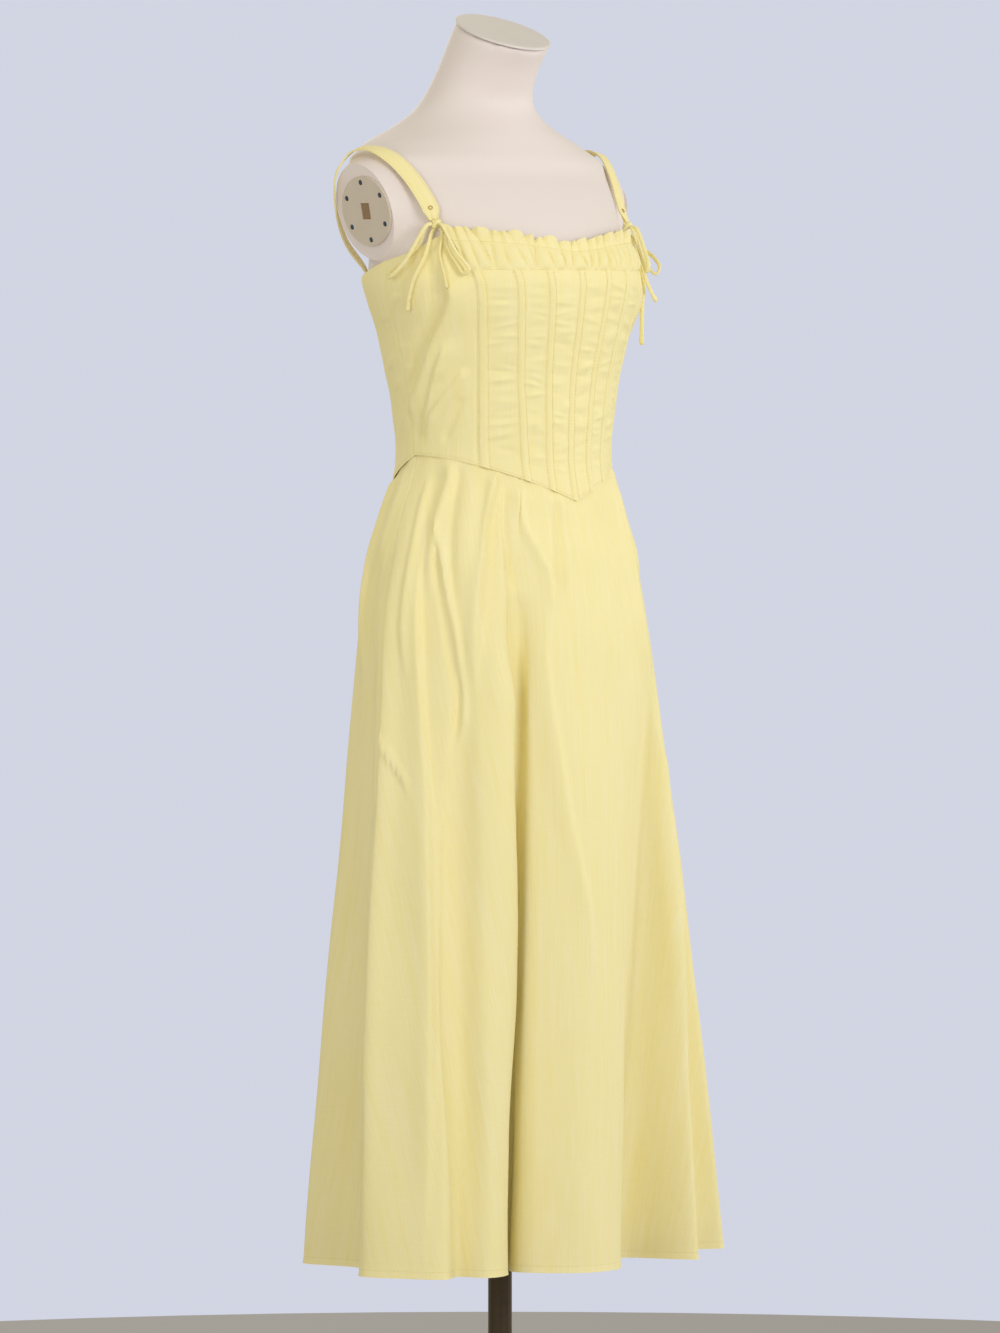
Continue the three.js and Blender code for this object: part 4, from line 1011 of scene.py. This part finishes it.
def tube(node, line, radius, flat=0.66, end_knot=0.0):
    """A soft flattish tube along a line in mm, with closed rounded ends and maybe an end knot."""
    along = unit(np.gradient(line, axis=0))
    side = np.cross(along[0], (0.3, 0.2, 1.0))
    turn = np.linspace(0, 2 * np.pi, TUBE_SIDES, endpoint=False)[:, None]
    rings, cut = [], []
    run = paced(line)
    for i, (centre, way) in enumerate(zip(line, along)):
        side = unit(side - way * np.dot(side, way))
        other = np.cross(way, side)
        end = min(run[i], run[-1] - run[i])
        size = radius * (0.55 + 0.45 * math.sqrt(min(end / radius, 1)))
        size *= 1 + 0.05 * math.sin(run[i] * 0.9) + 0.03 * math.sin(run[i] * 2.3)
        size *= 1 + end_knot * hump(run[-1] - run[i] - 4, 2.2)
        rings.append(centre + side * np.cos(turn) * size + other * np.sin(turn) * size * flat)
        cut.append(np.concatenate([np.full_like(turn, run[i] * 0.7), turn * radius + run[i] * 0.7], 1))
    count = len(rings)
    faces = ring_faces(count, TUBE_SIDES)
    for i in range(TUBE_SIDES):
        k = (i + 1) % TUBE_SIDES
        last = (count - 1) * TUBE_SIDES
        faces += [(count * TUBE_SIDES, k, i), (count * TUBE_SIDES + 1, last + i, last + k)]
    mesh = smooth_mesh(f"{node}_cloth", np.concatenate([*rings, line[:1], line[-1:]]), faces, cloth,
                       np.concatenate([*cut, cut[0][:1], cut[-1][:1]]))
    return fixed(in_scene(f"{node}_cloth", mesh), "cloth", node), run[-1]


def knot_piece(side, word):
    # the tie wraps round itself: one turn and a half of cord pulled tight
    wind = 1.5 * np.linspace(0, 2 * np.pi, 60)
    line = tie_place(side, *KNOT) + np.stack(
        [2.6 * np.cos(wind), 2.6 * np.sin(wind) * 0.7, 2.2 * np.sin(wind * 1.5 + 0.4)], -1)
    tube(f"tie_knot_{word}", line, 2.9, 0.95)


for side, word in SIDES:
    knot_piece(side, word)
    for piece, places in TIE_ROUTES[word].items():
        line = tie_line(side, piece, places)
        made, length = tube(f"tie_{piece}_{word}", line, TIE_DIAMETER / 2,
                            end_knot=0.35 if "tail" in piece else 0.0)
        tuple(line[0] * MM)
        [tuple(p * MM) for p in line]

# ------------------------------------------------------------------ dress form
# A light torso covered in smooth pale jersey over foam, with a leaning neck cut off on a slant and
# a flat face at each armhole for its plate. It ends at the hips, inside the skirt.
FORM = columns_of("z half front back mid square rise", [
    (826, 138, 104, 100, 0, 2, 0), (860, 144, 110, 104, 0, 2, 0), (900, 147, 116, 107, 0, 2, 0),
    (950, 145, 118, 107, 0, 2, 0), (1000, 136, 115, 104, 0, 2, 0), (1050, 121, 109, 94, 0, 2, 0),
    (1090, 113, 104, 89, 0, 2, 0), (1130, 113, 104, 89, 0, 2, 0),
    (1175, 122, 106, 92, 0, 2.05, 0), (1220, 132, 113, 98, 0, 2.1, 0),
    (1262, 146, 121, 106, 0, 2.15, 0), (1290, 149, 121, 112, 0, 2.15, 0),
    (1315, 148, 113, 112, 6, 2.05, 0), (1335, 150, 103, 112, 14, 2, 0),
    (1357, 156, 90, 113, 20, 1.95, 0), (1380, 159, 73, 113, 30, 2, 0),
    (1398, 161, 58, 112, 38, 2, 0), (1411, 161, 54, 110, 44, 2, 0),
    (1421, 145, 48, 107, 52, 2, 0), (1430, 129, 43, 105, 56, 2, 0),
    (1439, 107, 38, 101, 57, 2, 0), (1450, 86, 31, 97, 53, 2, 1), (1461, 70, 25, 94, 45, 2, 2),
    (1473, 59, 22, 91, 36, 2, 4), (1487, 53, 25, 82, 28, 2, 7), (1503, 50, 31, 70, 20, 2, 11),
    (1520, 49, 38, 59, 10, 2, 15), (1542, 49, 53, 44, -5, 2, 19),
])
FORM_LEVELS = 130
FORM_SIDES = 120
FORM_VOXEL = 0.004
JERSEY_LOW = (0.79, 0.71, 0.725)
JERSEY_HIGH = (0.84, 0.765, 0.785)
NECK_TOP = Vector((0, -5, 1542))
NECK_TRIM = 1.2
NECK_SLOPE = math.atan2(19, 48.5)
UNDERSIDE_Z = 829
PLATE_AT = (163, 22, 1357)
PLATE_DOWN = math.radians(11.5)
# the shoulders' round stumps: centre, size along each axis, and lean towards the front
STUMPS = columns_of("x y z wide deep high lean", [
    (112, 27.5, 1361, 90, 51, 62, 18), (112, 36, 1338, 58, 32, 32, 0),
])


def plate_matrix(side, out):
    """The frame of an arm plate: its Z looks out of the armhole."""
    normal = Vector((side * math.cos(PLATE_DOWN), 0, -math.sin(PLATE_DOWN))).normalized()
    place = Vector((side * PLATE_AT[0], PLATE_AT[1], PLATE_AT[2])) * MM + normal * out * MM
    turn = Vector((0, 0, 1)).rotation_difference(normal)
    return Matrix.Translation(place) @ turn.to_matrix().to_4x4()


def jersey():
    look, shader, place = new_look("form_jersey", "ShaderNodeTexCoord", "Object")
    drift = stretched(place, (5, 5, 5), 2.0)
    grain = stretched(place, (700, 700, 700), 2.0)
    knit = stretched(place, (1500, 1500, 900), 1.0)
    tone = 0.5 + (drift - 0.5) * 0.8 + (grain - 0.5) * 0.3
    wire(shader, Base_Color=blended(tone, JERSEY_LOW, JERSEY_HIGH),
         Normal=raised(grain * 0.5 + knit * 0.5, 0.12, 0.0004), Roughness=0.55, Sheen_Weight=0.1)
    return look


def form_torso():
    turn = np.linspace(0, 2 * np.pi, FORM_SIDES, endpoint=False)
    points = []
    for z in np.linspace(FORM["z"][0], FORM["z"][-1], FORM_LEVELS):
        section = section_at(FORM, z)
        x, y = around(section, turn)
        reach = (y - section["mid"]) / ((section["front"] + section["back"]) / 2)
        points.append(np.stack([x, y, z + section["rise"] * reach], -1))
    faces = ring_faces(FORM_LEVELS, FORM_SIDES)
    faces.append(tuple(range(FORM_SIDES - 1, -1, -1)))
    faces.append(tuple(range((FORM_LEVELS - 1) * FORM_SIDES, FORM_LEVELS * FORM_SIDES)))
    mesh = bpy.data.meshes.new("form")
    mesh.from_pydata((np.concatenate(points) * MM).tolist(), [], faces)
    body = in_scene("form", mesh)
    shoulders = []
    for side, (x, y, z, wide, deep, high, lean) in (
            (s, row) for s in (-1, 1) for row in zip(*STUMPS.values())):
        bpy.ops.mesh.primitive_uv_sphere_add(segments=48, ring_count=32, radius=1)
        ball = bpy.context.object
        ball.data.transform(Matrix.Translation((side * x * MM, y * MM, z * MM))
                            @ Matrix.Rotation(math.radians(-lean), 4, "X")
                            @ Matrix.Diagonal((wide * MM, deep * MM, high * MM, 1)))
        union = body.modifiers.new("shoulder", "BOOLEAN")
        union.operation = "UNION"
        union.solver = "EXACT"
        union.object = ball
        shoulders.append(ball)
    remesh = body.modifiers.new("even", "REMESH")
    remesh.mode = "VOXEL"
    remesh.voxel_size = FORM_VOXEL
    soft = body.modifiers.new("soft", "SMOOTH")
    soft.factor = 0.5
    soft.iterations = 14
    depsgraph = bpy.context.evaluated_depsgraph_get()
    made = bpy.data.meshes.new_from_object(body.evaluated_get(depsgraph))
    for ball in shoulders:
        bpy.data.objects.remove(ball)
    bpy.data.objects.remove(body)
    bm = bmesh.new()
    bm.from_mesh(made)
    # the flat faces: both armholes, the slanted top of the neck, and the underside
    cuts = [(plate_matrix(side, 0).translation, plate_matrix(side, 0).to_3x3().col[2])
            for side in (-1, 1)]
    cuts.append((NECK_TOP * MM - Vector((0, 0, NECK_TRIM * MM)),
                 Vector((0, -math.sin(NECK_SLOPE), math.cos(NECK_SLOPE)))))
    cuts.append((Vector((0, 0, UNDERSIDE_Z * MM)), Vector((0, 0, -1))))
    for place, normal in cuts:
        found = bmesh.ops.bisect_plane(bm, geom=bm.verts[:] + bm.edges[:] + bm.faces[:],
                                       plane_co=place, plane_no=normal, clear_outer=True)
        rim = [e for e in found["geom_cut"] if isinstance(e, bmesh.types.BMEdge)]
        bmesh.ops.contextual_create(bm, geom=rim)
    bmesh.ops.recalc_face_normals(bm, faces=bm.faces[:])
    mesh = bpy.data.meshes.new("form_torso_jersey")
    bm.to_mesh(mesh)
    bm.free()
    mesh.polygons.foreach_set("use_smooth", np.ones(len(mesh.polygons), bool))
    mesh.set_sharp_from_angle(angle=math.radians(35))
    mesh.materials.append(jersey_look)
    fixed(in_scene("form_torso_jersey", mesh), "form", "form_torso")


jersey_look = jersey()
form_torso()

# ------------------------------------------------------------------ plates, cap, pole and base
# Moulded satin plates with six sunk screws and a slot each, a pale neck cap, and a bronze painted
# tube that stands in a round pressed steel base.


def plain_look(name, low, high, roughness, metallic=0.0, cells=60):
    look, shader, place = new_look(name, "ShaderNodeTexCoord", "Object")
    drift = stretched(place, (cells, cells, cells))
    wire(shader, Base_Color=blended(drift, low, high), Metallic=metallic,
         Roughness=roughness + (drift - 0.5) * 0.12)
    return look


plate_look = plain_look("plate_plastic", (0.60, 0.52, 0.45), (0.66, 0.58, 0.51), 0.4)
cap_look = plain_look("cap_plastic", (0.70, 0.665, 0.665), (0.76, 0.72, 0.72), 0.45)
bronze_look = plain_look("bronze_paint", (0.06, 0.042, 0.026), (0.095, 0.068, 0.044), 0.32, 0.7)
for node, look in (("arm_plate_right", plate_look), ("arm_plate_left", plate_look),
                   ("form_neck_cap", cap_look), ("pole", bronze_look), ("base", bronze_look)):
    bpy.data.objects[node].material_slots[0].material = look

PLATE_THICK = 3.0
SCREW_REACH = 30
SCREW_START = math.radians(3)
SCREW_RADIUS = 2.7
SCREW_SUNK = 0.9
SLIP_SUNK = 1.2
SLIP_SIZE = (16.6, 12.6, 0.5)
screw_look = plain_look("blued_steel", (0.03, 0.055, 0.10), (0.05, 0.085, 0.15), 0.35, 0.6, 400)
slot_look = plain_look("slot_wood", (0.24, 0.15, 0.08), (0.33, 0.21, 0.11), 0.6, 0.0, 300)


def tree_input(tree, name, kind, default=None):
    socket = tree.interface.new_socket(name, in_out="INPUT", socket_type=f"NodeSocket{kind}")
    if default is not None:
        socket.default_value = default
    return socket.identifier


def settled(holder):
    """A holder with the plain smooth mesh that its Geometry Nodes make, and without them."""
    depsgraph = bpy.context.evaluated_depsgraph_get()
    mesh = bpy.data.meshes.new_from_object(holder.evaluated_get(depsgraph))
    holder.modifiers.clear()
    holder.data = mesh
    mesh.polygons.foreach_set("use_smooth", np.ones(len(mesh.polygons), bool))
    return holder


def new_tree(name, *sockets):
    """A tree with named inputs (name, kind, default), its Group Input node and their keys."""
    tree = bpy.data.node_groups.new(name, "GeometryNodeTree")
    keys = [tree_input(tree, *socket) for socket in sockets]
    tree.interface.new_socket("Geometry", in_out="OUTPUT", socket_type="NodeSocketGeometry")
    return tree, tree.nodes.new("NodeGroupInput"), keys


def end_tree(tree, place, look):
    """Make the instances real geometry in one material, and give it out."""
    real = tree.nodes.new("GeometryNodeRealizeInstances")
    tree.links.new(place.outputs["Instances"], real.inputs["Geometry"])
    coat = tree.nodes.new("GeometryNodeSetMaterial")
    coat.inputs["Material"].default_value = look
    tree.links.new(real.outputs["Geometry"], coat.inputs["Geometry"])
    tree.links.new(coat.outputs["Geometry"], tree.nodes.new("NodeGroupOutput").inputs[0])


def screw_ring():
    tree, given, keys = new_tree("screw_ring", ("Reach", "Float", SCREW_REACH * MM),
                                 ("Head Radius", "Float", SCREW_RADIUS * MM))
    ring = tree.nodes.new("GeometryNodeMeshCircle")
    ring.inputs["Vertices"].default_value = 6
    tree.links.new(given.outputs["Reach"], ring.inputs["Radius"])
    ball = tree.nodes.new("GeometryNodeMeshUVSphere")
    ball.inputs["Segments"].default_value = 14
    ball.inputs["Rings"].default_value = 8
    tree.links.new(given.outputs["Head Radius"], ball.inputs["Radius"])
    place = tree.nodes.new("GeometryNodeInstanceOnPoints")
    place.inputs["Scale"].default_value = (1, 1, 0.42)
    tree.links.new(ring.outputs["Mesh"], place.inputs["Points"])
    tree.links.new(ball.outputs["Mesh"], place.inputs["Instance"])
    end_tree(tree, place, screw_look)
    return tree, *keys


def sunk(side, depth):
    """The frame of a plate's face, some way under it."""
    return plate_matrix(side, PLATE_THICK + SEAM - depth)


ring_tree, ring_reach, ring_head = screw_ring()
for side, word in SIDES:
    screws = in_scene(f"arm_plate_screws_{word}", bpy.data.meshes.new("screws"))
    ring = screws.modifiers.new("screws", "NODES")
    ring.node_group = ring_tree
    ring[ring_reach] = SCREW_REACH * MM
    ring[ring_head] = SCREW_RADIUS * MM
    settled(screws)
    screws.data.transform(sunk(side, SCREW_SUNK) @ Matrix.Rotation(SCREW_START, 4, "Z"))
    fixed(screws, "plate")
    # the slot's wooden floor, a bevelled slip a little smaller than the slot
    bm = bmesh.new()
    bmesh.ops.create_cube(bm, size=1, matrix=Matrix.Diagonal((*(n * MM for n in SLIP_SIZE), 1)))
    bmesh.ops.bevel(bm, geom=bm.edges[:], offset=0.15 * MM, segments=1, affect="EDGES")
    bm.transform(sunk(side, SLIP_SUNK))
    mesh = bpy.data.meshes.new(f"arm_plate_slip_{word}")
    bm.to_mesh(mesh)
    bm.free()
    mesh.materials.append(slot_look)
    fixed(in_scene(f"arm_plate_slip_{word}", mesh), "plate")

# ------------------------------------------------------------------ stitching
# Lockstitch in a slightly deeper thread, about three to a centimetre, each stitch bedded in the
# cloth: round the hem, along both sides of every channel, down the straps, along the casing and
# along the bodice's lower edge.
thread_look = plain_look("thread", (0.80, 0.66, 0.27), (0.86, 0.74, 0.36), 0.7, 0.0, 300)
STITCH_PITCH = 3.4
STITCH_SIZE = (0.34, 0.34, 1.25)
CASING_PITCH = 3.0
BESIDE_CHANNEL = 0.65


def stitch_row():
    tree, given, keys = new_tree("stitch_row", ("Seams", "Geometry"),
                                 ("Pitch", "Float", STITCH_PITCH * MM),
                                 ("Stitch Size", "Vector", tuple(n * MM for n in STITCH_SIZE)))
    seam = tree.nodes.new("GeometryNodeMeshToCurve")
    tree.links.new(given.outputs["Seams"], seam.inputs["Mesh"])
    points = tree.nodes.new("GeometryNodeCurveToPoints")
    points.mode = "LENGTH"
    tree.links.new(seam.outputs["Curve"], points.inputs["Curve"])
    tree.links.new(given.outputs["Pitch"], points.inputs["Length"])
    ball = tree.nodes.new("GeometryNodeMeshIcoSphere")
    ball.inputs["Radius"].default_value = 1.0
    ball.inputs["Subdivisions"].default_value = 1
    place = tree.nodes.new("GeometryNodeInstanceOnPoints")
    tree.links.new(points.outputs["Points"], place.inputs["Points"])
    tree.links.new(points.outputs["Rotation"], place.inputs["Rotation"])
    tree.links.new(ball.outputs["Mesh"], place.inputs["Instance"])
    tree.links.new(given.outputs["Stitch Size"], place.inputs["Scale"])
    end_tree(tree, place, thread_look)
    return tree, *keys[1:]


def stitches(name, lines, pitch=STITCH_PITCH):
    """Stitches of one thread along lines in mm."""
    edges, start = [], 0
    for line in lines:
        edges += [(start + n, start + n + 1) for n in range(len(line) - 1)]
        start += len(line)
    mesh = bpy.data.meshes.new(name)
    mesh.from_pydata((np.concatenate(lines) * MM).tolist(), edges, [])
    piece = in_scene(name, mesh)
    rows = piece.modifiers.new("stitches", "NODES")
    rows.node_group = stitch_tree
    rows[stitch_pitch] = pitch * MM
    rows[stitch_size] = tuple(n * MM for n in STITCH_SIZE)
    fixed(settled(piece), "cloth")


stitch_tree, stitch_pitch, stitch_size = stitch_row()
stitches("hem_stitches", [skirt_front[-2], skirt_back[-2]])
channel_lines = []
for column, side in CHANNELS:
    down = np.linspace(0.015, 0.985, 160)
    for edge in (-1, 1):
        x = channel_x(column, side, down) + edge * (CHANNEL_WIDTH / 2 + BESIDE_CHANNEL)
        z = corset_z(x, down)
        channel_lines.append(on_dress(turn_at(x, z), z, corset_puckers(x, z, down) - 0.1))
stitches("channel_stitches", channel_lines)
stitches("strap_stitches", [band[8:, place] for band in straps.values() for place in (3, -4)])
casing_row = int(round((1 - CASING) * (len(neck_frill) - 1)))
stitches("casing_stitches", [neck_frill[casing_row, 6:-6]], CASING_PITCH)
stitches("bodice_hem_stitches", [panel[-3, 3:-3] for panel in (*side_fronts, *backs, corset)])

# ------------------------------------------------------------------ eyelets
# A small brass ring near each strap's front end, just above its tie, pressed through the folded
# band so that it stands a little proud of it.
brass_look = plain_look("brass", (0.52, 0.36, 0.15), (0.62, 0.45, 0.2), 0.35, 0.85, 300)
RING_RADIUS = 1.9
RING_THICK = 0.55
RING_SIDES = 24
WIRE_SIDES = 10
EYELET_AT = (14, 15)  # row and column of the strap
EYELET_PROUD = 0.3


def eyelet(name, centre, out):
    """A ring round a place in mm, facing out."""
    turn, small = (a[..., None] for a in np.meshgrid(
        np.linspace(0, 2 * np.pi, RING_SIDES, endpoint=False),
        np.linspace(0, 2 * np.pi, WIRE_SIDES, endpoint=False), indexing="ij"))
    index = np.arange(RING_SIDES * WIRE_SIDES).reshape(RING_SIDES, WIRE_SIDES)
    after = np.roll(index, -1, 0)
    faces = np.stack([index, after, np.roll(after, -1, 1), np.roll(index, -1, 1)], -1)
    first = unit(np.cross((0, 0, 1), out))
    second = np.cross(out, first)
    reach = RING_RADIUS + RING_THICK * np.cos(small)
    points = (centre + first * np.cos(turn) * reach + second * np.sin(turn) * reach
              + out * RING_THICK * np.sin(small))
    mesh = smooth_mesh(name, points.reshape(-1, 3), faces.reshape(-1, 4).tolist(), brass_look)
    fixed(in_scene(name, mesh), "bronze")


for side, word in SIDES:
    middle = straps[word][EYELET_AT]
    facing = normals_of(straps[word])[EYELET_AT]
    facing = facing * np.sign(facing[0] * side)
    eyelet(f"eyelet_{word}", middle + EYELET_PROUD * facing, facing)
